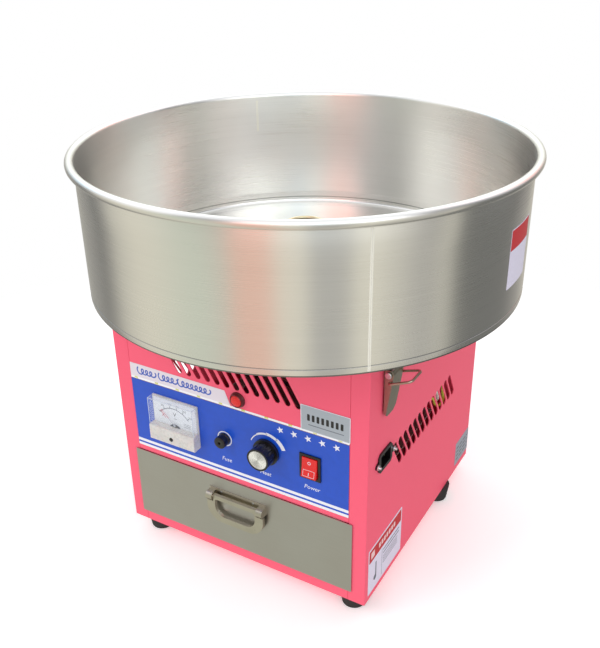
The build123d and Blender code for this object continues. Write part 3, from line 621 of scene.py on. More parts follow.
def plate(corners, depth, place=None, round_by=0.0):
    """A flat plate from its corners, with rounded corners if asked."""
    bm = bmesh.new()
    bm.faces.new([bm.verts.new((x, y, 0)) for x, y in corners])
    if round_by:
        bmesh.ops.bevel(
            bm, geom=list(bm.verts), offset=round_by, offset_type="OFFSET", segments=4, profile=0.5,
            affect="VERTICES", clamp_overlap=True, material=-1,
        )
    bm.normal_update()
    return moved(raised(bm, depth), place or Matrix())


def oblong(width, height, depth, place=None, round_by=0.0):
    """A rectangular plate about its own centre."""
    w, h = width / 2, height / 2
    return plate([(-w, -h), (w, -h), (w, h), (-w, h)], depth, place, round_by)


def disc(radius, depth, place=None, steps=48):
    """A round plate."""
    bm = bmesh.new()
    bmesh.ops.create_circle(bm, cap_ends=True, radius=radius, segments=steps)
    bm.normal_update()
    return moved(raised(bm, depth), place or Matrix())


def hoop(inner, outer, depth, place=None, steps=48, start=0.0, sweep=2 * pi):
    """A flat ring, or an arc of one that starts at an angle from X."""
    bm = bmesh.new()
    first = [bm.verts.new((r * cos(start), r * sin(start), 0)) for r in (inner, outer)]
    edge = bm.edges.new(first)
    full = abs(sweep - 2 * pi) < 1e-6
    bmesh.ops.spin(
        bm, geom=[*first, edge], cent=(0, 0, 0), axis=(0, 0, 1), dvec=(0, 0, 0), angle=sweep, steps=steps,
        use_merge=full, use_duplicate=False,
    )
    bmesh.ops.remove_doubles(bm, verts=bm.verts, dist=0.0005)
    bm.normal_update()
    return moved(raised(bm, depth), place or Matrix())


def star(radius, depth, place):
    """A five-pointed star."""
    bm = bmesh.new()
    ring = bmesh.ops.create_circle(bm, cap_ends=True, radius=radius, segments=10)["verts"]
    bmesh.ops.scale(bm, vec=(0.42, 0.42, 1), verts=ring[1::2])
    bmesh.ops.rotate(bm, cent=(0, 0, 0), matrix=Matrix.Rotation(pi / 2, 3, "Z"), verts=bm.verts)
    bm.normal_update()
    return moved(raised(bm, depth), place)


def joined(*parts):
    """Several bmeshes as one."""
    whole = bmesh.new()
    for part in parts:
        mesh = bpy.data.meshes.new("part")
        part.to_mesh(mesh)
        part.free()
        whole.from_mesh(mesh)
        bpy.data.meshes.remove(mesh)
    return whole


def from_curve(curve):
    """A curve or text data-block as a bmesh, and removes it."""
    holder = bpy.data.objects.new("curve", curve)
    bpy.context.scene.collection.objects.link(holder)
    bpy.context.view_layer.update()
    mesh = bpy.data.meshes.new_from_object(holder.evaluated_get(bpy.context.evaluated_depsgraph_get()))
    bm = bmesh.new()
    bm.from_mesh(mesh)
    bpy.data.objects.remove(holder)
    bpy.data.meshes.remove(mesh)
    bmesh.ops.remove_doubles(bm, verts=bm.verts, dist=0.0005)
    return bm


def words(text, size, place, depth=0.05, slant=0.0):
    """Raised letters or figures, centred on their place."""
    curve = bpy.data.curves.new("words", "FONT")
    curve.body = text
    curve.size = size
    curve.shear = slant
    curve.align_x = "CENTER"
    curve.align_y = "CENTER"
    curve.resolution_u = 3
    bm = from_curve(curve)
    bm.normal_update()
    return moved(raised(bm, depth), place)


def wire(points, radius, sides=4, order=3):
    """A round wire along a smooth curve through the space between the points."""
    curve = bpy.data.curves.new("wire", "CURVE")
    curve.dimensions = "3D"
    curve.bevel_depth = radius
    curve.bevel_resolution = sides
    curve.use_fill_caps = True
    curve.resolution_u = 8
    line = curve.splines.new("NURBS")
    line.points.add(len(points) - 1)
    for point, at in zip(line.points, points):
        point.co = (*at, 1)
    line.order_u = order
    line.use_endpoint_u = True
    return from_curve(curve)


def add_piece(name, body, bm, finish_name, instead_of=(), crease=35.0):
    """Ends a bmesh as a named piece in metres that rides on a body."""
    moved(bm, Matrix.Scale(MM, 4))
    for face in bm.faces:
        face.smooth = True
    for edge in bm.edges:
        edge.smooth = len(edge.link_faces) == 2 and edge.calc_face_angle(0) < radians(crease)
    mesh = bpy.data.meshes.new(name)
    bm.to_mesh(mesh)
    bm.free()
    mesh.materials.append(finish(finish_name))
    made = bpy.data.objects.new(name, mesh)
    bpy.context.scene.collection.objects.link(made)
    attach(made, body)
    if instead_of:
        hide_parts(*instead_of)
    return made


def slot_of(node):
    """Material slot of a CAD node."""
    return frame["nodes"][node].data.materials[0].name.split(".")[0]


def eased_node(node, width, segments=2, finish_name=None):
    """A copy of a CAD node with its sharp edges rounded, which stands for it."""
    source = frame["nodes"][node]
    slot = slot_of(node)
    bm = bmesh.new()
    bm.from_mesh(source.data)
    moved(bm, Matrix.Scale(1 / MM, 4))
    bmesh.ops.remove_doubles(bm, verts=bm.verts, dist=0.002)
    bmesh.ops.dissolve_limit(bm, angle_limit=radians(0.5), verts=bm.verts, edges=bm.edges)
    ease(bm, width, segments)
    made = add_piece(node + "_eased", source["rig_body"], bm, finish_name or slot, (node,))
    flat = made.modifiers.new("flat_faces", "WEIGHTED_NORMAL")
    flat.weight = 100
    flat.keep_sharp = True
    return made


# ------------------------------------------------------------------ operators
class CANDY_OT_finishes(bpy.types.Operator):
    """Paint every CAD node with the finish of its material slot"""

    bl_idname = "candy.finishes"
    bl_label = "Finishes"

    def execute(self, context):
        for node, part in frame["nodes"].items():
            part.material_slots[0].link = "OBJECT"
            part.material_slots[0].material = finish(slot_of(node))
        return {"FINISHED"}


class CANDY_OT_case(bpy.types.Operator):
    """Round the edges of the folded sheets of the case"""

    bl_idname = "candy.case"
    bl_label = "Case"

    def execute(self, context):
        width = context.scene.candy_sizes.sheet_edge
        for sheet in (
            "front_panel", "right_side_panel", "left_side_panel", "rear_panel", "base_plate", "deck_plate",
        ):
            eased_node(sheet, width)
        return {"FINISHED"}


class CANDY_OT_bowl(bpy.types.Operator):
    """Spin the bowl's wall, with its groove and wired rim, and its pressed floor"""

    bl_idname = "candy.bowl"
    bl_label = "Bowl"

    def execute(self, context):
        low, high = span("bowl_wall")
        bottom = low.z
        rim_outer = high.x
        wire_r = 4.9
        bead_r, bead_z = rim_outer - wire_r, high.z - wire_r
        sheet, hub = 1, 70
        wall = 251.2
        lining = wall - sheet
        groove = bottom + context.scene.candy_sizes.groove_height
        bead = [
            (bead_r + wire_r * cos(radians(a)), bead_z + wire_r * sin(radians(a)))
            for a in range(220, 541, 20)
        ]
        outside = [
            (249.0, bottom), (250.3, bottom + 0.15), (250.95, bottom + 0.8), (wall, bottom + 2.0),
            (wall, groove - 0.7), (wall - 0.4, groove - 0.3),
            (wall - 0.4, groove + 0.2), (wall, groove + 0.5),
            (wall, bead_z - 40), (wall, bead_z - 4.4), (wall - 0.3, bead_z - 3.7),
        ]
        inside = [(lining, bead_z - 40), (lining, bottom + 1.2), (249.0, bottom + sheet)]
        bm = turned(outside + bead + inside, steps=256)
        add_piece("bowl_wall_spun", "bowl", bm, "bowl_steel", ("bowl_wall",))

        floor_low, floor_high = span("bowl_floor")
        outer, base, top = floor_high.x, floor_low.z, floor_high.z
        bm = turned([
            (hub, base), (outer, base), (outer, top), (outer - 0.15, top - 0.1), (outer - sheet, top - 5.0),
            (outer - sheet, base + sheet), (hub + sheet, base + sheet), (hub + sheet, top - 1),
            (hub, top - 1),
        ], steps=256)

        def at_foot(edge):
            return all(abs(v.co.z - base - sheet) < 0.1 for v in edge.verts)

        ease(bm, 5.0, 6, near=at_foot)
        add_piece("bowl_floor_spun", "bowl", bm, "bowl_steel", ("bowl_floor",))
        eased_node("bowl_catches", 0.3)
        self.add_seam("bowl_seam", -46.9, wall - 0.05, bottom + 2.4, bead_z - 6)
        self.add_seam("bowl_seam_inside", 134.8, wall - 1.4, bead_z - 46, bead_z - 4)
        self.add_label(wall)
        return {"FINISHED"}

    def add_seam(self, name, azimuth, radius, low, high):
        """A weld that runs up the wall: two narrow beads side by side, whose near-white, barely metallic
        finish is a painted highlight of the seam's bright streak.
        """
        turn = Matrix.Rotation(radians(azimuth), 4, "Z") @ Matrix.Translation((radius, 0, (low + high) / 2))
        upright = Matrix(((0, 0, 1, 0), (1, 0, 0, 0), (0, 1, 0, 0), (0, 0, 0, 1)))
        beads = []
        for across in (-0.8, 0.8):
            place = turn @ upright @ Matrix.Translation((across, 0, 0))
            beads.append(ease(oblong(1.25, high - low, 0.25, place, 0.4), 0.1))
        add_piece(name, "bowl", joined(*beads), "weld_line")

    def add_label(self, wall):
        """A sticker with a coloured header, bent round the wall."""
        for name, finish_name, half_degrees, low, high, proud in (
            ("bowl_label_paper", "label_paper", 6.4, 376, 441, 0.12),
            ("bowl_label_header", "red_ink", 6.2, 418, 440, 0.2),
        ):
            half = radians(half_degrees)
            bm = bmesh.new()
            r = wall + proud
            first = [bm.verts.new((r * cos(half), -r * sin(half), z)) for z in (low, high)]
            edge = bm.edges.new(first)
            bmesh.ops.spin(
                bm, geom=[*first, edge], cent=(0, 0, 0), axis=(0, 0, 1), dvec=(0, 0, 0), angle=2 * half,
                steps=12, use_merge=False, use_duplicate=False,
            )
            bmesh.ops.solidify(bm, geom=bm.faces[:], thickness=-0.08)
            bmesh.ops.recalc_face_normals(bm, faces=bm.faces)
            add_piece(name, "bowl", bm, finish_name)


class CANDY_OT_spinner(bpy.types.Operator):
    """Ease the head's cover, base, screws and insulators, and turn its brass collar"""

    bl_idname = "candy.spinner"
    bl_label = "Spinner head"

    def execute(self, context):
        for node, width in (
            ("spinner_cover", 0.5), ("spinner_base", 0.4), ("cover_screws", 0.5), ("ribbon_insulators", 0.3),
        ):
            eased_node(node, width)
        low, high = span("sugar_collar")
        bore, rim = 21.5, 25.1
        bm = turned([
            (bore, low.z), (rim, low.z), (rim, high.z - 3.4), (rim, high.z - 1.2), (24.4, high.z - 0.3),
            (23.3, high.z), (22.2, high.z - 0.3), (bore, high.z - 1.2), (bore, high.z - 3.4),
        ], steps=96)
        add_piece("sugar_collar_turned", "spinner", bm, "brass", ("sugar_collar",), 50)
        return {"FINISHED"}


class CANDY_OT_panel_prints(bpy.types.Operator):
    """Print the stars, labels, heat scale and flourish on the control panel, and add its badge"""

    bl_idname = "candy.panel_prints"
    bl_label = "Panel prints"

    def execute(self, context):
        size = context.scene.candy_sizes.letter_height
        ink = PANEL_Y - STAND_OFF + 0.03
        star_radius, star_pitch, first_x, star_z = 4.5, 17.1, 60.6, 226.5
        stars = [
            star(star_radius, INK_DEPTH, on_front(first_x + star_pitch * i, star_z, ink)) for i in range(5)
        ]
        add_piece("print_stars", "case", joined(*stars), "white_ink")
        labels = [
            words(text, size, on_front(x, z, ink), INK_DEPTH, 0.18)
            for text, x, z in (("Fuse", -12.5, 162.2), ("Heat", 39.5, 161.8), ("Power", 99.0, 163.2))
        ]
        add_piece("print_labels", "case", joined(*labels), "white_ink")
        knob = middle("heat_knob")
        round_knob = on_front(knob.x, knob.z, ink)
        step, sweep = 34, 36
        bars = []
        for i in range(4):
            start = radians(158 - step * i) - radians(sweep)
            bars.append(
                hoop(21.2 - 0.2 * i, 22.4 + 1.05 * i, INK_DEPTH, round_knob, 8, start, radians(sweep))
            )
        add_piece("print_heat_scale", "case", joined(*bars), "white_ink")
        fuse = middle("fuse_cap")
        ring = hoop(8.4, 9.8, INK_DEPTH, on_front(fuse.x, fuse.z, ink))
        add_piece("print_fuse_ring", "case", ring, "white_ink")
        self.add_flourish(ink)
        self.add_badge()
        return {"FINISHED"}

    def add_flourish(self, ink):
        """Three looping strokes along the title band."""
        flat = Matrix.Translation((0, ink, 0)) @ Matrix.Scale(INK_DEPTH, 4, (0, 1, 0))
        middle_z, advance, half_width, points = 246.6, 6.1, 3.1, 8
        strokes = []
        for start, loops in ((-131.5, 4), (-100.5, 4), (-73.0, 7)):
            line = []
            for k in range(points * loops + 1):
                t = k / points
                tall = 3.4 + 1.8 * exp(-t * 1.6)
                x = start + advance * t - half_width * sin(2 * pi * t)
                line.append((x, 0, middle_z + tall * cos(2 * pi * t)))
            strokes.append(moved(wire(line, 1.0, sides=1), flat))
        add_piece("print_flourish", "case", joined(*strokes), "blue_ink")

    def add_badge(self):
        """A plain silver badge with a row of bars over a line."""
        y = PANEL_Y - 0.02
        x, z = (86.4 + 144.5) / 2, (237.0 + 268.0) / 2
        border = oblong(58.1, 31, 0.15, on_front(x, z, y), 0.6)
        add_piece("badge_border", "case", border, "white_ink")
        face = oblong(56.6, 29.6, 0.1, on_front(x, z, y - 0.14), 0.5)
        add_piece("badge_face", "case", face, "rating_plate")
        ink, bar_pitch = y - 0.23, 5.6
        bars = [
            oblong(3.2, 8.0, INK_DEPTH, on_front(x + bar_pitch * (i - 3.5), z + 1.4, ink), 0.8)
            for i in range(8)
        ]
        add_piece("badge_bars", "case", joined(*bars), "black_ink")
        line = oblong(42, 0.9, INK_DEPTH, on_front(x + 1, z - 7.4, ink), 0.3)
        add_piece("badge_line", "case", line, "grey_ink")


class CANDY_OT_meter(bpy.types.Operator):
    """Finish the meter: moulding, clear cover, dial marks, movement and zero screw"""

    bl_idname = "candy.meter"
    bl_label = "Meter"

    def execute(self, context):
        width = context.scene.candy_sizes.moulded_edge
        eased_node("meter_case", width)
        eased_node("meter_cover", width, 3)
        face_y = span("meter_dial")[0].y - 0.01
        centre_x, centre_z = middle("meter_case").x, 184.6
        self.add_dial_marks(on_front(centre_x - 1.5, centre_z, face_y))
        self.add_movement(centre_x, centre_z, face_y)
        self.add_needle()
        self.add_cover_glints()
        self.add_zero_screw(centre_x - 1)
        return {"FINISHED"}

    def add_dial_marks(self, here):
        """The scale and its figures, the unit, and the red marks by zero, round the dial's centre."""
        scale_end, scale_sweep, zero_at, division = 36, 106, 140, 20.0
        marks = [hoop(25.2, 26.1, FINE_INK_DEPTH, here, 40, radians(scale_end), radians(scale_sweep))]
        for i in range(6):
            angle = radians(zero_at - division * i)
            tick = here @ Matrix.Rotation(angle, 4, "Z") @ Matrix.Translation((27.2, 0, 0))
            marks.append(oblong(2.8, 0.8, FINE_INK_DEPTH, tick))
            if i:
                outside = here @ Matrix.Translation((31.4 * cos(angle), 30.4 * sin(angle), 0))
                marks.append(words(str(50 * i), 4.0, outside, FINE_INK_DEPTH))
        for k in range(3):
            marks.append(oblong(10, 0.5, FINE_INK_DEPTH, here @ Matrix.Translation((18.5, 9.4 - 2.1 * k, 0))))
        add_piece("dial_scale", "case", joined(*marks), "grey_ink")
        unit = words("V", 7.4, here @ Matrix.Translation((1.3, 17.9, 0)), FINE_INK_DEPTH)
        dash = oblong(3.4, 0.7, FINE_INK_DEPTH, here @ Matrix.Translation((1.8, 12.4, 0)))
        add_piece("dial_unit", "case", joined(unit, dash), "black_ink")
        reds = []
        strokes = ((11.5, -15.6, 14.2, 131), (4.4, -15.8, 13.2, 60), (3.6, -19.0, 17.6, 20))
        for length, across, up, lean in strokes:
            place = here @ Matrix.Translation((across, up, 0)) @ Matrix.Rotation(radians(lean), 4, "Z")
            reds.append(oblong(length, 0.7, FINE_INK_DEPTH, place))
        add_piece("dial_zero_marks", "case", joined(*reds), "red_ink")

    def add_movement(self, centre_x, centre_z, face_y):
        """The dark hump of the movement behind the needle's foot, with its coil."""
        hump = bmesh.new()
        bmesh.ops.create_circle(hump, cap_ends=True, radius=9.4, segments=48)
        bmesh.ops.bisect_plane(
            hump, geom=[*hump.verts, *hump.edges, *hump.faces], plane_co=(0, 2.0, 0), plane_no=(0, -1, 0),
            clear_outer=True,
        )
        hump.normal_update()
        proud = 0.9
        moved(raised(hump, proud), on_front(centre_x - 0.6, centre_z - 4.6, face_y))
        ease(hump, 0.3)
        add_piece("meter_movement", "case", hump, "carbon")
        coil = hoop(3.4, 5.6, 0.5, on_front(centre_x + 0.2, centre_z - 2.4, face_y - proud), 24, 0, pi)
        add_piece("meter_coil", "case", coil, "heater_alloy")

    def add_needle(self):
        """A thin blade on a small hub, from corner to corner of the needle's node."""
        low, high = span("meter_needle")
        hub_radius, y = 1.7, low.y + 1.6
        pivot = Vector((high.x - 2.2, y, low.z + 2.2))
        tip = Vector((low.x + 0.3, y, high.z - 0.3))
        hub = disc(hub_radius, 0.8, on_front(pivot.x, pivot.z, y + 0.4), 24)
        blade = wire([pivot, tip], 0.3, sides=2, order=2)
        needle = joined(hub, blade)
        add_piece("needle_blade", "meter_needle", needle, "needle_paint", ("meter_needle",))

    def add_zero_screw(self, x):
        """The slotted screw that sets the needle to zero."""
        low, _ = span("meter_case")
        z = low.z + 7.5
        screw = ease(disc(2.5, 1.0, on_front(x, z, low.y + 0.4)), 0.3)
        slot = oblong(4.2, 0.6, 0.2, on_front(x, z, low.y - 0.5))
        add_piece("meter_zero_screw", "case", screw, "black_phenolic")
        add_piece("meter_zero_slot", "case", slot, "carbon")

    def add_cover_glints(self):
        """Painted highlights: bright rods along the clear cover's edges stand in for the light caught in its
        polished edges.
        """
        low, high = span("meter_cover")
        x0, x1, z0, z1 = low.x + 0.5, high.x - 0.5, low.z + 0.5, high.z - 0.5
        front, back = low.y + 0.4, PANEL_Y - 0.6
        runs = [
            ((x0, front, z1), (x1, front, z1)), ((x0, front, z0), (x0, front, z1)),
            ((x1, front, z0), (x1, front, z1)), ((x0, front, z1), (x0, back, z1)),
            ((x1, front, z1), (x1, back, z1)), ((x0, back, z1), (x1, back, z1)),
        ]
        rods = [wire([start, end], 0.34, sides=2, order=2) for start, end in runs]
        add_piece("cover_edges", "case", joined(*rods), "cover_edge")


class CANDY_OT_fuse(bpy.types.Operator):
    """Finish the fuse holder and its screw cap"""

    bl_idname = "candy.fuse"
    bl_label = "Fuse holder"

    def execute(self, context):
        eased_node("fuse_holder", 0.3)
        low, _ = span("fuse_cap")
        at = middle("fuse_cap")
        depth = PANEL_Y - low.y
        bm = turned([
            (0, depth - 2.0), (1.5, depth - 2.0), (1.7, depth - 0.2), (2.2, depth), (6.2, depth),
            (7.1, depth - 0.4), (7.4, depth - 1.3), (7.4, 3.4), (7.0, 3.1), (7.0, 2.5), (7.4, 2.2),
            (7.4, 1.9), (3.2, 1.9), (3.2, -4.0), (0, -4.0),
        ], on_front(at.x, at.z), 64, closed=False)
        add_piece("fuse_cap_turned", "fuse_cap", bm, "black_phenolic", ("fuse_cap",), 30)
        return {"FINISHED"}


class CANDY_OT_heat_knob(bpy.types.Operator):
    """Finish the fluted knob and set its spun insert"""

    bl_idname = "candy.heat_knob"
    bl_label = "Heat knob"

    def execute(self, context):
        eased_node("heat_knob", context.scene.candy_sizes.moulded_edge, 2)
        low, _ = span("heat_knob")
        at = middle("heat_knob")
        depth = PANEL_Y - low.y
        bm = turned([
            (0, depth - 0.45), (10.4, depth - 0.45), (10.8, depth - 0.1), (11.3, depth - 0.1),
            (11.35, depth - 0.55), (0, depth - 0.6),
        ], on_front(at.x, at.z), 72, closed=False)
        add_piece("knob_insert", "heat_knob", bm, "spun_insert")
        return {"FINISHED"}


class CANDY_OT_switch(bpy.types.Operator):
    """Finish the rocker switch and mark its two positions"""

    bl_idname = "candy.switch"
    bl_label = "Rocker switch"

    def execute(self, context):
        eased_node("switch_housing", context.scene.candy_sizes.moulded_edge)
        eased_node("power_rocker", 0.6, 3)
        at = middle("switch_housing")
        x, z = at.x, at.z
        upper = on_front(x, z + 6.6, PANEL_Y - 3.05) @ Matrix.Rotation(radians(-3.2), 4, "X")
        lower = on_front(x, z - 5.4, PANEL_Y - 4.72) @ Matrix.Rotation(radians(-12.8), 4, "X")
        ring = hoop(1.35, 1.95, 0.06, upper, 28)
        bar = oblong(0.7, 3.8, 0.06, lower @ Matrix.Translation((0, -1.2, 0)))
        add_piece("rocker_marks", "power_rocker", joined(ring, bar), "white_ink")
        window = [
            oblong(13.6, 0.35, 0.05, lower @ Matrix.Translation((0, y, 0))) for y in (3.2, -4.2)
        ] + [oblong(0.35, 7.4, 0.05, lower @ Matrix.Translation((dx, -0.5, 0))) for dx in (-6.8, 6.8)]
        add_piece("rocker_window", "power_rocker", joined(*window), "white_ink")
        return {"FINISHED"}


class CANDY_OT_lamp(bpy.types.Operator):
    """Turn the indicator lamp's bezel and lens"""

    bl_idname = "candy.lamp"
    bl_label = "Indicator lamp"

    def execute(self, context):
        low, _ = span("indicator_lamp")
        at = middle("indicator_lamp")
        place = on_front(at.x, at.z, FRONT_Y)
        reach = FRONT_Y - low.y
        bezel = turned([
            (7.1, 0), (9.4, 0), (9.4, 0.9), (9.1, 1.5), (8.6, 2.2), (8.0, 4.4), (7.5, 4.8), (7.1, 4.4),
        ], place, 64)
        add_piece("lamp_bezel", "case", bezel, "bezel_brown", ("indicator_lamp",))
        lens = turned([
            (0, reach), (2.5, reach - 0.05), (4.6, reach - 0.3), (6.0, reach - 0.8), (6.8, reach - 1.6),
            (7.1, reach - 2.6), (7.1, -1.0), (0, -1.0),
        ], place, 64, closed=False)
        add_piece("lamp_lens", "case", lens, "red_plastic")
        body = turned([(0, -1.05), (7.0, -1.05), (7.0, -22.0), (6.4, -24), (0, -24)], place, 48, closed=False)
        add_piece("lamp_body", "case", body, "black_phenolic")
        return {"FINISHED"}


class CANDY_OT_drawer(bpy.types.Operator):
    """Finish the drawer's front, bracket and swinging handle"""

    bl_idname = "candy.drawer"
    bl_label = "Drawer"

    def execute(self, context):
        for node, width, steps, look in (
            ("drawer_front", 0.2, 2, None), ("drawer_tray", 0.25, 2, None),
            ("drawer_handle_bracket", 0.4, 3, "handle_steel"), ("drawer_handle_loop", 1.1, 4, "handle_steel"),
            ("handle_screws", 0.3, 2, None), ("drawer_runners", 0.3, 2, None),
        ):
            eased_node(node, width, steps, look)
        return {"FINISHED"}


class CANDY_OT_latches(bpy.types.Operator):
    """Finish the two toggle latches"""

    bl_idname = "candy.latches"
    bl_label = "Toggle latches"

    def execute(self, context):
        for side in ("right", "left"):
            eased_node(f"latch_base_{side}", 0.3, 2, "latch_steel")
            eased_node(f"latch_lever_{side}", 0.35, 2, "latch_steel")
        eased_node("latch_pins", 0.9, 4, "screw_steel")
        return {"FINISHED"}


class CANDY_OT_side_wall(bpy.types.Operator):
    """Finish the inlet and stick the plain labels on the right-hand wall"""

    bl_idname = "candy.side_wall"
    bl_label = "Side wall"

    def execute(self, context):
        eased_node("mains_inlet", 0.4)
        eased_node("inlet_pins", 0.2)
        paper = oblong(90, 65, 0.15, on_side(-112, 61.5), 1.5)
        add_piece("side_label_paper", "case", paper, "label_paper")
        header = oblong(86, 17, INK_DEPTH, on_side(-112, 83, WALL_X + 0.14), 0.6)
        add_piece("side_label_header", "case", header, "red_ink")
        self.add_label_marks()
        self.add_leads()
        rating = oblong(49, 36, 0.4, on_side(140.5, 50), 0.8)
        add_piece("rating_plate", "case", rating, "rating_plate")
        return {"FINISHED"}

    def add_label_marks(self):
        """Plain blocks in the label's header, and ruled rows under it."""
        x = WALL_X + 0.2
        blocks = [oblong(9, 9, FINE_INK_DEPTH, on_side(-146, 83, x), 1.2)]
        blocks += [oblong(4.6, 6.4, FINE_INK_DEPTH, on_side(-128 + 6.6 * i, 83, x), 0.8) for i in range(7)]
        add_piece("side_label_blocks", "case", joined(*blocks), "pale_ink")
        x = WALL_X + 0.14
        rows = [oblong(0.7, 38, FINE_INK_DEPTH, on_side(-121, 51.5, x))]
        rows += [oblong(44, 1.7, FINE_INK_DEPTH, on_side(-96, 68 - 5.0 * i, x), 0.3) for i in range(2)]
        rows += [oblong(40, 0.9, FINE_INK_DEPTH, on_side(-98, 58 - 3.2 * i, x), 0.2) for i in range(4)]
        rows.append(disc(3.6, FINE_INK_DEPTH, on_side(-139, 44, x)))
        rows.append(oblong(2.6, 20, FINE_INK_DEPTH, on_side(-137, 56, x), 0.8))
        add_piece("side_label_rows", "case", joined(*rows), "grey_ink")

    def add_leads(self):
        """A looped earth lead and a neutral lead close behind the slots, laced to the main earth lead."""
        x = WALL_X - 7
        lead_radius = 1.6
        loop = [
            (146, 12, 188), (x, 30, 192), (x, 40, 173), (x, 56, 161),
            (x, 72, 162), (x, 66, 174), (154, 72, 202),
        ]
        earth = wire(loop, lead_radius, sides=3)
        add_piece("slot_earth_lead", "case", earth, "earth_sleeve")
        route = [
            (142, -20, 204), (x - 4, 36, 204), (x, 44, 188), (x, 51, 177), (x - 4, 57, 168), (152, 60, 182),
        ]
        neutral = wire(route, lead_radius, sides=3)
        add_piece("slot_neutral_lead", "case", neutral, "white_sleeve")


class CANDY_OT_fixings(bpy.types.Operator):
    """Finish the feet and the screws that show"""

    bl_idname = "candy.fixings"
    bl_label = "Feet and screws"

    def execute(self, context):
        eased_node("rubber_feet", 0.8)
        eased_node("machine_screws", 0.5)
        return {"FINISHED"}


class CANDY_OT_stage(bpy.types.Operator):
    """Set the pale floor, which fades out into the backdrop, the soft light and the camera"""

    bl_idname = "candy.stage"
    bl_label = "Stage"

    def execute(self, context):
        scene = context.scene
        bm = bmesh.new()
        bmesh.ops.create_circle(bm, cap_ends=True, radius=30, segments=64)
        mesh = bpy.data.meshes.new("floor")
        bm.to_mesh(mesh)
        bm.free()
        floor = bpy.data.objects.new("floor", mesh)
        scene.collection.objects.link(floor)
        floor.visible_glossy = False
        paint = new_paint("floor")
        grain = paint.noise(2, 2, 2, 2)
        tint = paint.mix(grain, shade(scene.candy_colours.floor, 0.99), scene.candy_colours.floor)
        x, y, _ = paint.axes()
        reach = x.maths("SQRT", x * x + y * y)
        fade_width, floor_end = 350, 900
        fade = reach.maths("MULTIPLY_ADD", reach, -1 / fade_width, floor_end / fade_width)
        fade = fade.maths("MINIMUM", fade.maths("MAXIMUM", fade, 0.0), 1.0)
        paint.surface(
            Base_Color=tint, Roughness=0.9, Alpha=fade, Emission_Color=(1.0, 1.0, 1.0), Emission_Strength=0.3,
        )
        mesh.materials.append(paint.owner)
        self.add_world(scene)
        power = scene.candy_sizes.key_power
        self.add_light(scene, "key", "AREA", (-1.5, -2.1, 2.3), 1.5, power)
        self.add_light(scene, "fill", "AREA", (2.3, -1.2, 1.7), 1.2, power * 0.1)
        self.add_light(scene, "top", "AREA", (0.2, 0.6, 2.6), 1.4, power * 0.35)
        self.add_light(scene, "inner", "POINT", (0.06, 0.02, 0.13), 0.04, scene.candy_sizes.inner_power)
        self.add_camera(scene)
        scene.view_settings.view_transform = "Standard"
        return {"FINISHED"}

    def add_light(self, scene, name, kind, at, size, power):
        """A light that points at the machine; only the fill shows as a reflection."""
        light = bpy.data.lights.new(name, kind)
        setattr(light, "size" if kind == "AREA" else "shadow_soft_size", size)
        light.energy = power
        holder = bpy.data.objects.new(name, light)
        holder.location = at
        holder.rotation_euler = (Vector((0, 0, 0.3)) - Vector(at)).to_track_quat("-Z", "Y").to_euler()
        holder.visible_glossy = name == "fill"
        scene.collection.objects.link(holder)

    def add_world(self, scene):
        """A white room; the soft screens round it and over it only show as reflections."""
        world = bpy.data.worlds.new("studio")
        scene.world = world
        paint = Paint(world)
        ray = paint.node("ShaderNodeLightPath").output.node
        direction = paint.node("ShaderNodeTexCoord", out="Generated")
        split = paint.node("ShaderNodeSeparateXYZ", sockets={"Vector": direction}).output.node
        x, y, z = (Socket(paint, split.outputs[i]) for i in range(3))
        turn = x.maths("ARCTAN2", y, x) / (2 * pi) + 0.5
        pale, light, grey = (0.72, 0.69, 0.58), (0.60, 0.58, 0.50), (0.42, 0.41, 0.38)
        green, rose = (0.60, 0.64, 0.54), (0.78, 0.50, 0.40)
        middling, dark = (0.30, 0.29, 0.27), (0.16, 0.16, 0.15)
        bands = [
            (0.0, dark), (0.02, middling), (0.045, light), (0.09, pale), (0.19, green), (0.222, light),
            (0.24, rose), (0.278, rose), (0.30, pale), (0.328, pale), (0.345, grey), (0.385, grey),
            (0.405, pale), (0.425, pale), (0.445, light), (0.50, grey), (0.532, light), (0.556, dark),
            (0.66, dark), (0.70, middling), (0.76, light), (0.85, light), (0.97, middling), (1.0, dark),
        ]
        screens = paint.node("ShaderNodeValToRGB", {"stops": bands}, {0: turn})
        frost, cool, even = (2.4, 2.55, 2.6), (1.8, 2.2, 2.55), (2.0, 2.05, 2.15)
        blush, half, dusk = (3.0, 1.85, 1.8), (1.35, 1.35, 1.45), (0.3, 0.3, 0.34)
        overhead = [
            (0.0, even), (0.05, half), (0.13, half), (0.17, dusk), (0.225, dusk), (0.24, half),
            (0.255, blush), (0.29, blush), (0.305, frost), (0.325, frost), (0.338, cool), (0.35, cool),
            (0.362, frost), (0.41, frost), (0.44, even), (0.48, half), (0.50, dusk), (0.57, dusk),
            (0.60, half), (0.65, even), (0.675, blush), (0.72, blush), (0.74, frost), (0.92, frost),
            (0.96, cool),
        ]
        ceiling = paint.node("ShaderNodeValToRGB", {"stops": overhead}, {0: turn})
        soft = paint.mix(z.maths("MAXIMUM", z, 0.0) * 1.2, screens, ceiling)
        soft = paint.mix(z.maths("MAXIMUM", z * 4 - 2.5, 0.0), soft, (0.98, 1.0, 1.04))
        room = paint.mix(Socket(paint, ray.outputs["Is Glossy Ray"]), (0.78, 0.78, 0.79), soft)
        seen = paint.mix(Socket(paint, ray.outputs["Is Camera Ray"]), room, (1, 1, 1))
        paint.plug(paint.tree.nodes["Background"].inputs["Color"], seen)

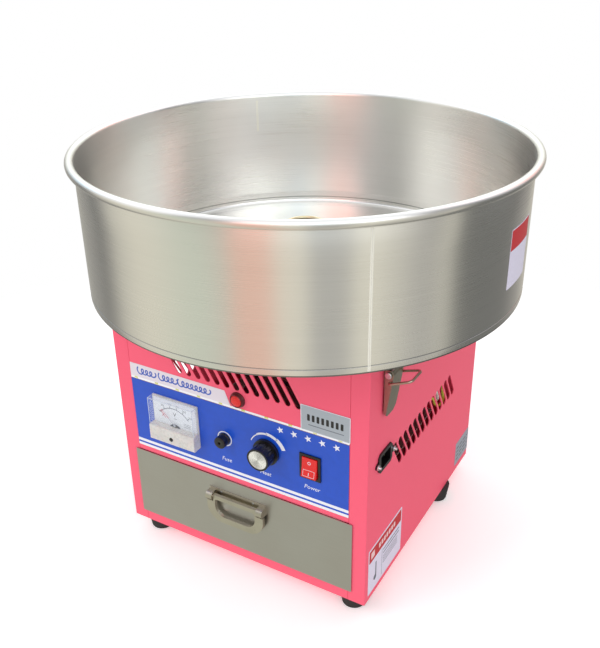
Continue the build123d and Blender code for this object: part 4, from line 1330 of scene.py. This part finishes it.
    def add_camera(self, scene):
        """The camera, turned, tipped and rolled as the machine is seen."""
        camera = bpy.data.cameras.new("camera")
        camera.lens = 46.49
        camera.sensor_width = 36
        holder = bpy.data.objects.new("camera", camera)
        azimuth, down, tilt = 30.36, 27.21, -0.944
        turn = Matrix.Rotation(radians(azimuth), 4, "Z")
        tip = Matrix.Rotation(radians(90 - down), 4, "X")
        roll = Matrix.Rotation(radians(tilt), 4, "Z")
        holder.matrix_world = Matrix.Translation((0.45727, -0.79688, 0.73704)) @ turn @ tip @ roll
        scene.collection.objects.link(holder)
        scene.camera = holder


OPERATORS = (
    CANDY_OT_finishes, CANDY_OT_case, CANDY_OT_bowl, CANDY_OT_spinner, CANDY_OT_panel_prints, CANDY_OT_meter,
    CANDY_OT_fuse, CANDY_OT_heat_knob, CANDY_OT_switch, CANDY_OT_lamp, CANDY_OT_drawer, CANDY_OT_latches,
    CANDY_OT_side_wall, CANDY_OT_fixings, CANDY_OT_stage,
)


class CANDY_PT_machine(bpy.types.Panel):
    """Lists the machine's settings and operators"""

    bl_idname = "CANDY_PT_machine"
    bl_label = "Cotton Candy Machine"
    bl_space_type = "VIEW_3D"
    bl_region_type = "UI"
    bl_category = "Candy Machine"

    def draw(self, context):
        for settings in (context.scene.candy_colours, context.scene.candy_sizes):
            column = self.layout.column(align=True)
            for name in settings.__annotations__:
                column.prop(settings, name)
        for operator in OPERATORS:
            self.layout.operator(operator.bl_idname)


CLASSES = (CandyMachineColours, CandyMachineSizes, *OPERATORS, CANDY_PT_machine)


def register():
    for cls in CLASSES:
        bpy.utils.register_class(cls)
    bpy.types.Scene.candy_colours = bpy.props.PointerProperty(type=CandyMachineColours)
    bpy.types.Scene.candy_sizes = bpy.props.PointerProperty(type=CandyMachineSizes)


def unregister():
    del bpy.types.Scene.candy_sizes
    del bpy.types.Scene.candy_colours
    for cls in reversed(CLASSES):
        bpy.utils.unregister_class(cls)


def main():
    """Registers the add-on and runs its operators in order."""
    register()
    for operator in OPERATORS:
        group, name = operator.bl_idname.split(".")
        getattr(getattr(bpy.ops, group), name)()


if __name__ == "__main__":
    main()
